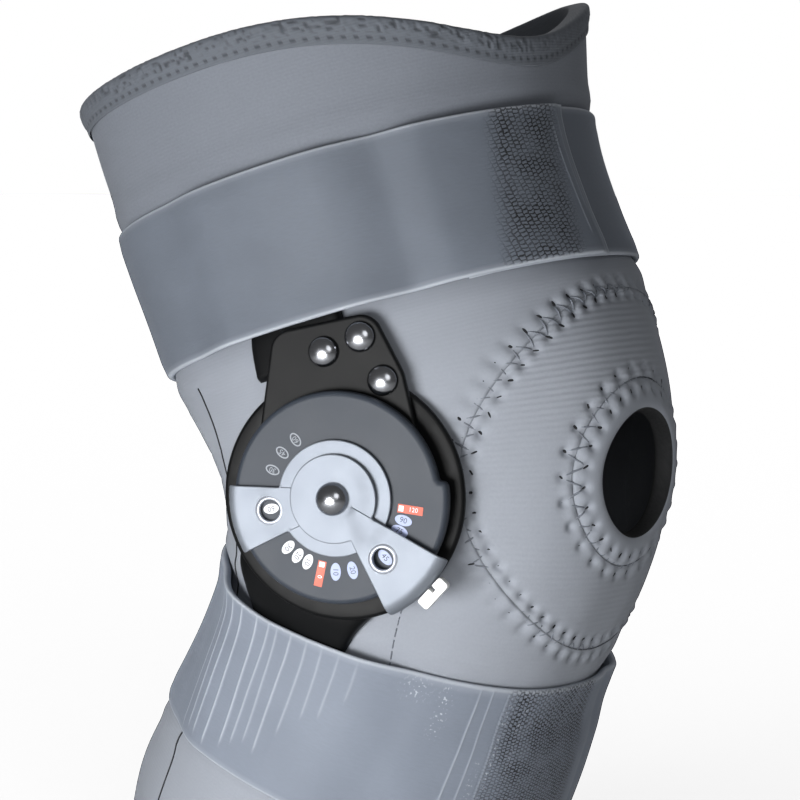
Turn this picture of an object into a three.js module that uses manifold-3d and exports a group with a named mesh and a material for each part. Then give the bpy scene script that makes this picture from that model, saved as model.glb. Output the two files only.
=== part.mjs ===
// Post-op knee brace: a bent neoprene sleeve with two wide straps and, on its outer side, a hinge
// whose dial and two stop levers set how far the knee may bend and straighten.
// Millimetres. +X is the front of the knee, -Y the outer side with the hinge, +Z up the leg.
// The origin is on the leg's axis at the knee.
import * as THREE from "three";
import { ConvexGeometry } from "three/addons/geometries/ConvexGeometry.js";
import { mergeVertices } from "three/addons/utils/BufferGeometryUtils.js";
import Module from "manifold-3d";

const wasm = await Module();
wasm.setup();
const { clamp, degToRad: rad, lerp, smoothstep } = THREE.MathUtils;

// Leg axis: bent evenly within BEND_REACH of the knee, straight beyond it
const THIGH_LEAN = rad(17);
const SHIN_LEAN = rad(22.5);
const BEND_REACH = 45;
const BEND_RATE = (THIGH_LEAN + SHIN_LEAN) / (2 * BEND_REACH);
const KNEE_LEAN = (THIGH_LEAN - SHIN_LEAN) / 2;

// Outer sections of the sleeve, each square to the axis. along: distance up the axis from the knee;
// front, back, half: reach from the axis; egg: how far the front narrows; square: superellipse power
const SECTIONS = [
  { along: -150, front: 57.5, back: 64.0, half: 58.0, egg: 0.06, square: 2.2 },
  { along: -110, front: 57.8, back: 67.5, half: 61.0, egg: 0.08, square: 2.2 },
  { along: -75, front: 57.6, back: 60.0, half: 61.0, egg: 0.12, square: 2.3 },
  { along: -56, front: 56.6, back: 56.6, half: 61.0, egg: 0.152, square: 2.36 },
  { along: -40, front: 54.6, back: 55.6, half: 61.3, egg: 0.175, square: 2.42 },
  { along: -15, front: 63.6, back: 58.5, half: 63.0, egg: 0.2, square: 2.5 },
  { along: 10, front: 70.4, back: 61.0, half: 65.0, egg: 0.22, square: 2.6 },
  { along: 40, front: 71.0, back: 69.0, half: 67.0, egg: 0.2, square: 2.5 },
  { along: 75, front: 65.0, back: 77.0, half: 69.0, egg: 0.15, square: 2.3 },
  { along: 100, front: 63.8, back: 81.3, half: 70.4, egg: 0.115, square: 2.23 },
  { along: 112, front: 68.0, back: 83.3, half: 71.2, egg: 0.1, square: 2.2 },
  { along: 155, front: 78.0, back: 87.0, half: 74.0, egg: 0.08, square: 2.2 },
];

// Sleeve: neoprene wall, level lower edge, upper rim that dips above the kneecap
const SLEEVE_WALL = 4;
const SLEEVE_BOTTOM = -150;
const RIM = { along: 146, dip: 22, turn: rad(13), spread: rad(43) };
const GAP = 0.4;
const BINDING = { height: 7, tape: 1 };

// Kneecap oval: its middle on the front of the sleeve, and its half sizes along the leg and round it.
// The reaches of the hole, ring and panel are shares of those half sizes; fullness widens the hole
const OVAL = { along: 10, turn: rad(1.5), halfAlong: 37.5, halfTurn: rad(57), fullness: 0.9 };
const RING_REACH = { hole: 0.325, edge: 0.488 };
const PANEL_REACH = { inner: 0.502, outer: 0.992 };
const WINDOW_REACH = 1;

// Straps: edges along the leg, free end and start of the overlap round it, where the bar lies beneath
const STRAP_THICKNESS = 2.2;
const STRAP_CLEARANCE = 0.6;
const OVERLAP_CLIMB = rad(14);
const UPPER_STRAP = { bottom: 57.5, top: 105, end: rad(2), start: rad(48), backRise: 0 };
const LOWER_STRAP = { bottom: -87, top: -36, end: rad(-96), start: rad(-42), backRise: 10 };
const BACK_RISE = { from: rad(100), to: rad(150) };

// Hinge: its foot on the sleeve's outer side, facing a little forwards
const HINGE_FOOT = { along: 7.5, turn: rad(85.2) };
const HINGE_FACING = rad(16);

// Hinge layers: distance of each inner face from the foot, and thickness
const BASE_PLATE = { from: 1.6, thick: 2.5, radius: 36.5 };
const UPPER_PLATE = { from: 4.4, thick: 2.5, radius: 27 };
const DIAL = { from: 7.2, thick: 4.5, radius: 31, flangeRadius: 33.5, flangeStart: -50, flangeEnd: 10, bevel: 1.5 };
const EXTENSION_LEVER = {
  from: 12, thick: 1.2, disc: 17, angle: 193, root: 2.7, spread: 13, tip: 32.7,
  windowReach: 19.9, windowAngle: 191.4, lip: 3.6,
};
const FLEXION_LEVER = {
  from: 13.5, thick: 1.2, disc: 13, angle: 315, root: 0.8, spread: 16.5, tip: 37.5,
  windowReach: 22.6, windowAngle: 311.8, lip: 5.4,
};
const LEVER_WINDOW = 3.1;
const LIP_THICKNESS = 1.2;
const LEVER_TAB = { reach: 40, angle: 317.5, deep: 3.8, wide: 10, from: 9, thick: 3 };
const PIVOT = { shank: 3.5, bore: 3.8, head: 4.8, from: 1.6, headFrom: 15, dome: 3.6 };
const ARM_RIVET = { shank: 1.9, bore: 2.2, head: 4.5, from: 4.6, headFrom: 7.2, dome: 2.9 };
const ARM_RIVET_PLACES = [
  { forward: 12.8, up: 34 },
  { forward: 6, up: 46.5 },
  { forward: -5, up: 42 },
];
const SHOULDER_CORNERS = [...ARM_RIVET_PLACES, { forward: -15, up: 42 }];
const SHOULDER_ROUND = 6.4;

// Bars of the two arms, on the sleeve's outer side. half: half width; crown: outer face above the sleeve
const BAR_CLEARANCE = 0.6;
const UPPER_BAR = [
  { along: 44.5, turn: rad(89.4), half: 15, crown: 5.4 },
  { along: 55, turn: rad(89.4), half: 14, crown: 5.2 },
  { along: 64, turn: rad(89), half: 13, crown: 3.5 },
  { along: 74, turn: rad(88.6), half: 13, crown: 3.1 },
  { along: 100, turn: rad(88.6), half: 12, crown: 3.1 },
];
const LOWER_BAR = [
  { along: -82, turn: rad(95.5), half: 14.5, crown: 3.1 },
  { along: -60, turn: rad(95.5), half: 15.5, crown: 3.1 },
  { along: -43, turn: rad(95.5), half: 15.5, crown: 3.2 },
  { along: -36, turn: rad(95.2), half: 15.8, crown: 4.2 },
  { along: -28, turn: rad(94.6), half: 18.5, crown: 6.6 },
  { along: -20, turn: rad(93), half: 23, crown: 7 },
  { along: -12, turn: rad(91.2), half: 26, crown: 5.4 },
];

// Facets
const TURN_STEPS = 44;
const SLEEVE_ROWS = 28;
const OVAL_STEPS = 36;
const OVAL_RINGS = 4;
const WINDOW_RINGS = 8;
const STRAP_STEPS = 56;
const STRAP_ROWS = 5;
const BAR_STEPS = 12;
const BAR_ROWS = 4;
const ROUND_STEPS = 20;
const DOME_STEPS = 5;

// Value of every column of a table at a place along the leg, on a smooth curve through its rows
function rowAt(table, along) {
  const last = table.length - 1;
  const found = table.findIndex((row) => row.along > along);
  const upper = found < 0 ? last : Math.max(found, 1);
  const [low, high] = [table[upper - 1], table[upper]];
  const before = table[Math.max(upper - 2, 0)];
  const after = table[Math.min(upper + 1, last)];
  const span = high.along - low.along;
  const u = clamp((along - low.along) / span, 0, 1);
  const row = {};
  for (const column of Object.keys(low)) {
    const lowSlope = (high[column] - before[column]) / (high.along - before.along) * span;
    const highSlope = (after[column] - low[column]) / (after.along - low.along) * span;
    const rise = high[column] - low[column];
    row[column] = low[column] + u * lowSlope
      + u * u * (3 * rise - 2 * lowSlope - highSlope)
      + u * u * u * (lowSlope + highSlope - 2 * rise);
  }
  return row;
}

// Point of the leg axis and its lean there
function axisAt(along) {
  const bent = clamp(along, -BEND_REACH, BEND_REACH);
  const lean = KNEE_LEAN + BEND_RATE * bent;
  const straight = along - bent;
  const x = (Math.cos(lean) - Math.cos(KNEE_LEAN)) / BEND_RATE - Math.sin(lean) * straight;
  const z = (Math.sin(lean) - Math.sin(KNEE_LEAN)) / BEND_RATE + Math.cos(lean) * straight;
  return { x, z, lean };
}

// Point at a height above the sleeve's outer face. turn: 0 at the front, a quarter turn at the hinge
function onLeg(along, turn, height) {
  const { x, z, lean } = axisAt(along);
  const { front, back, half, egg, square } = rowAt(SECTIONS, along);
  const [c, d] = [Math.cos(turn), Math.sin(turn)];
  const depth = (c >= 0 ? front : back) + height;
  const width = half + height;
  const reach = ((Math.abs(c) / depth) ** square + (Math.abs(d) / width) ** square) ** (-1 / square);
  const forward = reach * c;
  const narrowing = 1 - egg * forward / depth * (c >= 0 ? 1 : 0.5);
  return new THREE.Vector3(x + forward * Math.cos(lean), -reach * d * narrowing, z + forward * Math.sin(lean));
}

// Upper rim of the sleeve at a turn
function rimAt(turn) {
  const away = Math.atan2(Math.sin(turn - RIM.turn), Math.cos(turn - RIM.turn));
  return RIM.along - RIM.dip * Math.exp(-((away / RIM.spread) ** 2));
}

// One closed surface, faces out, from a geometry whose edges meet
function closed(geometry) {
  geometry.deleteAttribute("normal");
  geometry.deleteAttribute("uv");
  const merged = mergeVertices(geometry, 1e-4);
  const corners = Array.from({ length: 3 }, () => new THREE.Vector3());
  const spots = merged.getAttribute("position");
  const source = merged.getIndex().array;
  const faces = [];
  let volume = 0;
  for (let i = 0; i < source.length; i += 3) {
    const face = [source[i], source[i + 1], source[i + 2]];
    if (new Set(face).size === 3) {
      faces.push(face);
      corners.forEach((corner, k) => corner.fromBufferAttribute(spots, face[k]));
      volume += corners[0].dot(corners[1].cross(corners[2]));
    }
  }
  const outward = volume > 0 ? faces : faces.map(([a, b, c]) => [a, c, b]);
  merged.setIndex(outward.flat());
  return merged;
}

// Moves every point of a geometry to where place puts it
function reshaped(geometry, place) {
  const spots = geometry.getAttribute("position");
  const spot = new THREE.Vector3();
  for (let i = 0; i < spots.count; i += 1) {
    spot.fromBufferAttribute(spots, i);
    spots.setXYZ(i, ...place(spot).toArray());
  }
  return closed(geometry);
}

// Ring turned from a closed profile, each point then placed by its turn, its reach and its height
function turnedRing(profile, steps, place) {
  const loop = [...profile, profile[0]].map(([reach, height]) => new THREE.Vector2(reach, height));
  return reshaped(new THREE.LatheGeometry(loop, steps), (spot) => {
    const turn = Math.atan2(spot.x, spot.z);
    return place(turn, Math.hypot(spot.x, spot.z), spot.y);
  });
}

// Joins and cuts
function toSolid(geometry) {
  const vertProperties = new Float32Array(geometry.getAttribute("position").array);
  const triVerts = new Uint32Array(geometry.getIndex().array);
  return new wasm.Manifold(new wasm.Mesh({ numProp: 3, vertProperties, triVerts }));
}

function toGeometry(solid) {
  const { vertProperties, triVerts } = solid.getMesh();
  const geometry = new THREE.BufferGeometry();
  geometry.setAttribute("position", new THREE.BufferAttribute(vertProperties, 3));
  geometry.setIndex(new THREE.BufferAttribute(triVerts, 1));
  return geometry;
}

function joined(first, ...others) {
  return toGeometry(others.reduce((solid, other) => solid.add(toSolid(other)), toSolid(first)));
}

function cut(first, ...others) {
  return toGeometry(others.reduce((solid, other) => solid.subtract(toSolid(other)), toSolid(first)));
}

// A turned ring's reach counts from MANDREL, so that every reach is positive
const MANDREL = 50;

// Place on the kneecap oval
function onOval(turn, reach, height) {
  const along = OVAL.along + OVAL.halfAlong * reach * Math.cos(turn);
  const aside = OVAL.halfTurn * reach ** OVAL.fullness * Math.sin(turn);
  return onLeg(along, OVAL.turn + aside, height);
}

// Wall of the oval between two reaches, stepped so that it follows the leg
function ovalWall(inner, outer, low, high, rings) {
  const reaches = Array.from({ length: rings + 1 }, (_, i) => lerp(inner, outer, i / rings));
  const top = reaches.map((reach) => [reach, high]);
  const under = reaches.map((reach) => [reach, low]).reverse();
  return turnedRing([...top, ...under], OVAL_STEPS, onOval);
}

function sleeveBody() {
  const shares = Array.from({ length: SLEEVE_ROWS + 1 }, (_, i) => i / SLEEVE_ROWS);
  const outside = shares.map((share) => [MANDREL, share]);
  const inside = shares.map((share) => [MANDREL - SLEEVE_WALL, share]).reverse();
  const tube = turnedRing([...outside, ...inside], TURN_STEPS, (turn, reach, share) => (
    onLeg(lerp(SLEEVE_BOTTOM, rimAt(turn), share), turn, reach - MANDREL)));
  return cut(tube, ovalWall(0, WINDOW_REACH, -2 * SLEEVE_WALL, SLEEVE_WALL, WINDOW_RINGS));
}

function kneePanel() {
  return ovalWall(PANEL_REACH.inner, PANEL_REACH.outer, -SLEEVE_WALL, 0, OVAL_RINGS);
}

// Padded ring: a rounded section, higher at the middle than at the panel
function patellaRing() {
  const { hole, edge } = RING_REACH;
  const middle = lerp(hole, edge, 0.45);
  const profile = [
    [hole, -2.5], [lerp(hole, edge, 0.06), 0.4], [lerp(hole, edge, 0.2), 1.3], [middle, 1.7],
    [lerp(hole, edge, 0.8), 1.1], [edge, 0], [edge, -SLEEVE_WALL], [middle, -5], [lerp(hole, edge, 0.1), -4.6],
  ];
  return turnedRing(profile, OVAL_STEPS, onOval);
}

// Edge tape folded over a rim; side is 1 over the upper rim and -1 under the lower edge
function binding(edgeAt, side) {
  const { height, tape } = BINDING;
  const inner = -SLEEVE_WALL - GAP;
  const profile = [
    [GAP + tape, -height], [GAP + tape, GAP + tape], [inner - tape, GAP + tape], [inner - tape, -height],
    [inner, -height], [inner, GAP], [GAP, GAP], [GAP, -height],
  ].map(([reach, rise]) => [MANDREL + reach, side * rise]);
  return turnedRing(profile, TURN_STEPS, (turn, reach, rise) => onLeg(edgeAt(turn) + rise, turn, reach - MANDREL));
}

// Turn of a bar at a place along the leg, and how far round it reaches to each side
function barSpread(bar, along) {
  const { turn, half } = rowAt(bar, along);
  const radius = onLeg(along, turn, 0).distanceTo(new THREE.Vector3(axisAt(along).x, 0, axisAt(along).z));
  return { turn, reach: half / radius };
}

// Height of a strap's inner face above the sleeve: close to it, and raised over the bar
function strapHeight(bar, along, turn) {
  const within = clamp(along, bar[0].along, bar[bar.length - 1].along);
  const { turn: middle, reach } = barSpread(bar, within);
  const away = Math.abs(Math.atan2(Math.sin(turn - middle), Math.cos(turn - middle)));
  const lift = 1 - smoothstep(away, reach + rad(3), reach + rad(20));
  return lerp(STRAP_CLEARANCE, rowAt(bar, within).crown + STRAP_CLEARANCE, lift);
}

// A strap starts under its own free end, goes round the back and ends on top of its start
function strap({ bottom, top, end, start, backRise }, bar) {
  const length = start - end + 2 * Math.PI;
  const box = new THREE.BoxGeometry(1, 1, 1, STRAP_STEPS, STRAP_ROWS, 1);
  return reshaped(box, ({ x, y, z }) => {
    const gone = (x + 0.5) * length;
    const turn = start - gone;
    const fromFront = Math.abs(Math.atan2(Math.sin(turn), Math.cos(turn)));
    const rise = backRise * smoothstep(fromFront, BACK_RISE.from, BACK_RISE.to);
    const along = lerp(bottom, top + rise, y + 0.5);
    const climb = smoothstep(gone, 2 * Math.PI - OVERLAP_CLIMB, 2 * Math.PI - rad(2));
    const layer = climb * (STRAP_THICKNESS + STRAP_CLEARANCE);
    return onLeg(along, turn, strapHeight(bar, along, turn) + layer + (z + 0.5) * STRAP_THICKNESS);
  });
}

// Hinge frame: x forwards along the sleeve, y up, z out from the leg
const hingeFrame = new THREE.Matrix4().makeBasis(
  new THREE.Vector3(Math.cos(HINGE_FACING), Math.sin(HINGE_FACING), 0),
  new THREE.Vector3(0, 0, 1),
  new THREE.Vector3(Math.sin(HINGE_FACING), -Math.cos(HINGE_FACING), 0),
).setPosition(onLeg(HINGE_FOOT.along, HINGE_FOOT.turn, 0));

// Upright round bar about the hinge's z, its foot at a height and its middle at a place on the plates
function roundBar(radius, from, thick, forward = 0, up = 0) {
  const bar = new THREE.CylinderGeometry(radius, radius, thick, ROUND_STEPS * 2);
  return closed(bar.rotateX(Math.PI / 2).translate(forward, up, from + thick / 2));
}

// Plate of an outline, with an even bevel inside the outline
function plate(outline, from, thick, bevel = 0) {
  const options = {
    depth: thick - 2 * bevel, bevelEnabled: bevel > 0, bevelThickness: bevel, bevelSize: bevel,
    bevelOffset: -bevel, bevelSegments: 2, curveSegments: ROUND_STEPS / 2,
  };
  return closed(new THREE.ExtrudeGeometry(outline, options).translate(0, 0, from + bevel));
}

// Curved bar that follows the sleeve from row to row of its table
function followingBar(bar) {
  const box = new THREE.BoxGeometry(1, 1, 1, BAR_ROWS, BAR_STEPS, 1);
  const [foot, head] = [bar[0].along, bar[bar.length - 1].along];
  return reshaped(box, ({ x, y, z }) => {
    const along = lerp(foot, head, y + 0.5);
    const { turn, reach } = barSpread(bar, along);
    const height = lerp(BAR_CLEARANCE, rowAt(bar, along).crown, z + 0.5);
    return onLeg(along, turn + 2 * x * reach, height);
  });
}

function inLegFrame(geometry) {
  return geometry.applyMatrix4(hingeFrame);
}

function lowerArm() {
  const { from, thick, radius } = BASE_PLATE;
  const base = roundBar(radius, from, thick);
  const whole = joined(inLegFrame(base), followingBar(LOWER_BAR));
  return cut(whole, inLegFrame(roundBar(PIVOT.bore, from - 10, thick + 20)));
}

function upperArm() {
  const { from, thick, radius } = UPPER_PLATE;
  const rounds = [{ forward: 0, up: 0, round: radius }];
  SHOULDER_CORNERS.forEach((corner) => rounds.push({ ...corner, round: SHOULDER_ROUND }));
  const points = rounds.flatMap(({ forward, up, round }) => (
    Array.from({ length: ROUND_STEPS }, (_, i) => {
      const angle = 2 * Math.PI * i / ROUND_STEPS;
      const spot = [forward + round * Math.cos(angle), up + round * Math.sin(angle)];
      return [new THREE.Vector3(...spot, from), new THREE.Vector3(...spot, from + thick)];
    }).flat()));
  const shoulder = inLegFrame(closed(new ConvexGeometry(points)));
  const bores = ARM_RIVET_PLACES.map(({ forward, up }) => roundBar(ARM_RIVET.bore, from - 10, thick + 20, forward, up));
  bores.push(roundBar(PIVOT.bore, from - 10, thick + 20));
  return cut(joined(shoulder, followingBar(UPPER_BAR)), ...bores.map(inLegFrame));
}

// Dial: a disc with a wider flange on its lower front and a bevelled rim
function dial() {
  const { from, thick, radius, flangeRadius, flangeStart, flangeEnd, bevel } = DIAL;
  const outline = new THREE.Shape();
  outline.absarc(0, 0, flangeRadius, rad(flangeStart), rad(flangeEnd));
  outline.absarc(0, 0, radius, rad(flangeEnd), rad(flangeStart + 360));
  return cut(plate(outline, from, thick, bevel), roundBar(PIVOT.bore, from - 1, thick + 2));
}

// Sector of a ring, its middle along +X
function ringSector(inner, outer, halfAngle, from, thick) {
  const outline = new THREE.Shape();
  outline.absarc(0, 0, outer, -halfAngle, halfAngle);
  outline.absarc(0, 0, inner, halfAngle, -halfAngle, true);
  return plate(outline, from, thick);
}

// Stop lever: a disc on the pivot, an arm that widens to its tip, and a lip turned down over the dial's edge
function lever({ from, thick, disc, angle, root, spread, tip, windowReach, windowAngle, lip }) {
  const half = root + tip * Math.tan(rad(spread));
  const reach = Math.sqrt(tip ** 2 - half ** 2);
  const halfAngle = Math.atan2(half, reach);
  const arm = new THREE.Shape();
  arm.moveTo(0, -root);
  arm.lineTo(reach, -half);
  arm.absarc(0, 0, tip, -halfAngle, halfAngle);
  arm.lineTo(0, root);
  const lipSector = ringSector(tip - LIP_THICKNESS, tip, halfAngle * 0.94, from - lip + thick, lip);
  const whole = joined(roundBar(disc, from, thick), plate(arm, from, thick), lipSector);
  const window = rad(windowAngle - angle);
  const [forward, up] = [windowReach * Math.cos(window), windowReach * Math.sin(window)];
  const bores = [
    roundBar(PIVOT.bore, from - 1, thick + 2),
    roundBar(LEVER_WINDOW, from - 1, thick + 2, forward, up),
  ];
  return cut(whole, ...bores).rotateZ(rad(angle));
}

function leverTab() {
  const { reach, angle, deep, wide, from, thick } = LEVER_TAB;
  const box = new THREE.BoxGeometry(deep, wide, thick);
  return closed(box.translate(reach, 0, from + thick / 2).rotateZ(rad(angle)));
}

// Dome-headed rivet about the hinge's z
function rivet({ shank, head, from, headFrom, dome }) {
  const domed = Array.from({ length: DOME_STEPS + 1 }, (_, i) => {
    const angle = Math.PI / 2 * i / DOME_STEPS;
    return [head * Math.cos(angle), headFrom + dome * Math.sin(angle)];
  });
  domed[DOME_STEPS][0] = 0;
  const profile = [[0, from], [shank, from], [shank, headFrom], ...domed];
  const points = profile.map(([reach, height]) => new THREE.Vector2(reach, height));
  return closed(new THREE.LatheGeometry(points, ROUND_STEPS).rotateX(Math.PI / 2));
}

// Finishes
const NEOPRENE = { color: 0x8a8f96, roughness: 0.85, metalness: 0 };
const PANEL_KNIT = { color: 0x8f949b, roughness: 0.9, metalness: 0 };
const PADDED_RIM = { color: 0x80858c, roughness: 0.85, metalness: 0 };
const EDGE_TAPE = { color: 0x6f747b, roughness: 0.9, metalness: 0 };
const STRAP_ELASTIC = { color: 0x6e757f, roughness: 0.8, metalness: 0 };
const BLACK_NYLON = { color: 0x141518, roughness: 0.4, metalness: 0 };
const DIAL_PLASTIC = { color: 0x4b4e54, roughness: 0.5, metalness: 0 };
const SATIN_SILVER = { color: 0xb9c0ca, roughness: 0.4, metalness: 0.9 };
const WHITE_PLASTIC = { color: 0xf2f2f0, roughness: 0.4, metalness: 0 };
const CHROME = { color: 0xd0d2d5, roughness: 0.1, metalness: 1 };

function piece(name, geometry, finish) {
  const mesh = new THREE.Mesh(geometry, new THREE.MeshStandardMaterial(finish));
  mesh.name = name;
  return mesh;
}

const brace = new THREE.Group();
brace.add(
  piece("sleeve_body", sleeveBody(), NEOPRENE),
  piece("knee_panel", kneePanel(), PANEL_KNIT),
  piece("patella_ring", patellaRing(), PADDED_RIM),
  piece("top_binding", binding(rimAt, 1), EDGE_TAPE),
  piece("bottom_binding", binding(() => SLEEVE_BOTTOM, -1), EDGE_TAPE),
  piece("upper_strap", strap(UPPER_STRAP, UPPER_BAR), STRAP_ELASTIC),
  piece("lower_strap", strap(LOWER_STRAP, LOWER_BAR), STRAP_ELASTIC),
  piece("lower_arm", lowerArm(), BLACK_NYLON),
  piece("upper_arm", upperArm(), BLACK_NYLON),
);

const hinge = new THREE.Group();
hinge.applyMatrix4(hingeFrame);
hinge.add(
  piece("dial", dial(), DIAL_PLASTIC),
  piece("extension_lever", lever(EXTENSION_LEVER), SATIN_SILVER),
  piece("flexion_lever", lever(FLEXION_LEVER), SATIN_SILVER),
  piece("lever_tab", leverTab(), WHITE_PLASTIC),
  piece("pivot_rivet", rivet(PIVOT), CHROME),
);
ARM_RIVET_PLACES.forEach(({ forward, up }, i) => {
  const dome = piece(`arm_rivet_${i + 1}`, rivet(ARM_RIVET), CHROME);
  dome.position.set(forward, up, 0);
  hinge.add(dome);
});
brace.add(hinge);

export default brace;
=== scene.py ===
# Post-op knee brace: a bent neoprene sleeve with a ribbed knee panel, a padded kneecap ring, two wide
# elastic straps and, on the outer side, a dial hinge with two stop levers.
# Tables are in millimetres and degrees, the scene is in metres. +X is the front of the knee, -Y the
# outer side that carries the hinge, +Z up the leg.
import math

import bmesh
import bpy
import numpy as np
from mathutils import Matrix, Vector, geometry


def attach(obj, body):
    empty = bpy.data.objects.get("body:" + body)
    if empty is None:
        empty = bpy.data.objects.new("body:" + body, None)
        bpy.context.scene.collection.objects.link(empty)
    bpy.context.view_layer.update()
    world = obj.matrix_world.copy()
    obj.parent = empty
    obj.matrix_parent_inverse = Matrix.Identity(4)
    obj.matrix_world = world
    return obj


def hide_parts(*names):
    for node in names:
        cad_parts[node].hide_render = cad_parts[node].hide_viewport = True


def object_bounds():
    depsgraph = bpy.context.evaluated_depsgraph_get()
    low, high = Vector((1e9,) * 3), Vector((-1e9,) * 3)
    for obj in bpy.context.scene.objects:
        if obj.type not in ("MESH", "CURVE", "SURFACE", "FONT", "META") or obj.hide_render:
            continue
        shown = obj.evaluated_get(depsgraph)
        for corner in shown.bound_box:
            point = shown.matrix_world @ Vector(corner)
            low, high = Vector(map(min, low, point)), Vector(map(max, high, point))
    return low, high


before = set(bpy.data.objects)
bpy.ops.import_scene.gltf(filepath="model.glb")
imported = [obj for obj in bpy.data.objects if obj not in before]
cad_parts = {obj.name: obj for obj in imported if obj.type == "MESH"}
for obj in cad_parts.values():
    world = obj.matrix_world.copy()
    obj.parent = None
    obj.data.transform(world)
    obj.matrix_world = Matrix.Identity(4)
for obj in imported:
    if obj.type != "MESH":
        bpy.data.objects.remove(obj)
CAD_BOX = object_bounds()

MM = 0.001
TAU = 2 * math.pi
rad = math.radians
chance = np.random.default_rng(7)

# Leg form, the same as the solids': sections square to an axis that bends at the knee
THIGH_LEAN, SHIN_LEAN, BEND_REACH = rad(17), rad(22.5), 45
BEND_RATE = (THIGH_LEAN + SHIN_LEAN) / (2 * BEND_REACH)
KNEE_LEAN = (THIGH_LEAN - SHIN_LEAN) / 2
# along, front depth, back depth, half width, egg (how much the front narrows), squareness
SECTIONS = np.array([
    (-150, 57.5, 64.0, 58, 0.06, 2.2),
    (-110, 57.8, 67.5, 61, 0.08, 2.2),
    (-75, 57.6, 60.0, 61, 0.12, 2.3),
    (-56, 56.6, 56.6, 61, 0.152, 2.36),
    (-40, 54.6, 55.6, 61.3, 0.175, 2.42),
    (-15, 63.6, 58.5, 63, 0.2, 2.5),
    (10, 70.4, 61.0, 65, 0.22, 2.6),
    (40, 71.0, 69.0, 67, 0.2, 2.5),
    (75, 65.0, 77.0, 69, 0.15, 2.3),
    (100, 63.8, 81.3, 70.4, 0.115, 2.23),
    (112, 68.0, 83.3, 71.2, 0.1, 2.2),
    (155, 78.0, 87.0, 74, 0.08, 2.2),
])
# Share of the egg by which the back half widens
BACK_EGG = 0.5
LEG_RADIUS = 65
WALL = 4
BOTTOM = -150
RIM = dict(along=146, dip=22, turn=rad(13), spread=rad(43))

# Oval of the knee panel; a reach is a share of the way from its middle to its outer seam
OVAL = dict(along=10, turn=rad(1.5), half_along=37.5, half_turn=rad(57), fullness=0.9)
RING_HOLE, RING_EDGE = 0.325, 0.497
PANEL_INNER, PANEL_OUTER = 0.4985, 0.9994

# Bars of the two arms: along, turn in degrees, half width, crown above the sleeve
UPPER_BAR = np.array([
    (44.5, 89.4, 15, 5.4),
    (55, 89.4, 14, 5.2),
    (64, 89, 13, 3.5),
    (74, 88.6, 13, 3.1),
    (100, 88.6, 12, 3.1),
])
LOWER_BAR = np.array([
    (-82, 95.5, 14.5, 3.1),
    (-60, 95.5, 15.5, 3.1),
    (-43, 95.5, 15.5, 3.2),
    (-36, 95.2, 15.8, 4.2),
    (-28, 94.6, 18.5, 6.6),
    (-20, 93, 23, 7),
    (-12, 91.2, 26, 5.4),
])
BAR_CLEARANCE = 0.6

# Straps: edges along the leg, free end and start round it in degrees, rise of the top edge at the back
STRAP_THICK, STRAP_CLEARANCE, OVERLAP_CLIMB = 2.2, 0.6, rad(14)
UPPER_STRAP = dict(bottom=57.5, top=105, end=2, start=48, back_rise=0)
LOWER_STRAP = dict(bottom=-87, top=-36, end=-96, start=-42, back_rise=10)

# Hinge, in its own frame: x forwards, y up, z out of the leg from the foot
HINGE_FACING = rad(16)
HINGE_FOOT = dict(along=7.5, turn=rad(85.2))
PIVOT_BORE = 3.8
BASE_RADIUS, BASE_LOW, BASE_HIGH = 36.5, 1.6, 4.1
SHOULDER_RADIUS, SHOULDER_LOW, SHOULDER_HIGH = 27, 4.4, 6.9
DIAL_RADIUS, FLANGE_RADIUS, DIAL_LOW, DIAL_FACE = 31, 33.5, 7.2, 11.7
FLANGE_START, FLANGE_END = -50, 10
RIVETS = [(12.8, 34), (6, 46.5), (-5, 42)]


def smooth(value, low, high):
    share = np.clip((np.asarray(value, float) - low) / (high - low), 0, 1)
    return share * share * (3 - 2 * share)


def bump(value, middle, width):
    return np.exp(-(((value - middle) / width) ** 2))


def wrapped(angle):
    return np.arctan2(np.sin(angle), np.cos(angle))


def row_at(table, along):
    """Every column of a table at places along the leg, on a smooth curve through its rows."""
    places = table[:, 0]
    along = np.clip(np.asarray(along, float), places[0], places[-1])
    low = np.clip(np.searchsorted(places, along, side="right") - 1, 0, len(places) - 2)
    before = np.maximum(np.arange(len(places)) - 1, 0)
    after = np.minimum(np.arange(len(places)) + 1, len(places) - 1)
    slope = (table[after] - table[before]) / (places[after] - places[before])[:, None]
    span = (places[low + 1] - places[low])[..., None]
    u = (along - places[low])[..., None] / span
    rise = table[low + 1] - table[low]
    at_low, at_high = slope[low] * span, slope[low + 1] * span
    row = (table[low] + u * at_low + u * u * (3 * rise - 2 * at_low - at_high)
           + u ** 3 * (at_low + at_high - 2 * rise))
    return np.moveaxis(row, -1, 0)


def leg_axis(along):
    bent = np.clip(along, -BEND_REACH, BEND_REACH)
    lean = KNEE_LEAN + BEND_RATE * bent
    x = (np.cos(lean) - math.cos(KNEE_LEAN)) / BEND_RATE - np.sin(lean) * (along - bent)
    z = (np.sin(lean) - math.sin(KNEE_LEAN)) / BEND_RATE + np.cos(lean) * (along - bent)
    return x, z, lean


def on_leg(along, turn, height=0.0):
    """Points at a height above the sleeve's outer face. turn: 0 at the front, a quarter turn at the hinge."""
    along, turn, height = np.broadcast_arrays(*(np.asarray(v, float) for v in (along, turn, height)))
    x, z, lean = leg_axis(along)
    _, front, back, half, egg, square = row_at(SECTIONS, along)
    c, d = np.cos(turn), np.sin(turn)
    depth = np.where(c >= 0, front, back) + height
    reach = ((np.abs(c) / depth) ** square + (np.abs(d) / (half + height)) ** square) ** (-1 / square)
    forward = reach * c
    side = reach * d * (1 - egg * forward / depth * np.where(c >= 0, 1, BACK_EGG))
    return np.stack([x + forward * np.cos(lean), -side, z + forward * np.sin(lean)], -1)


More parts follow.
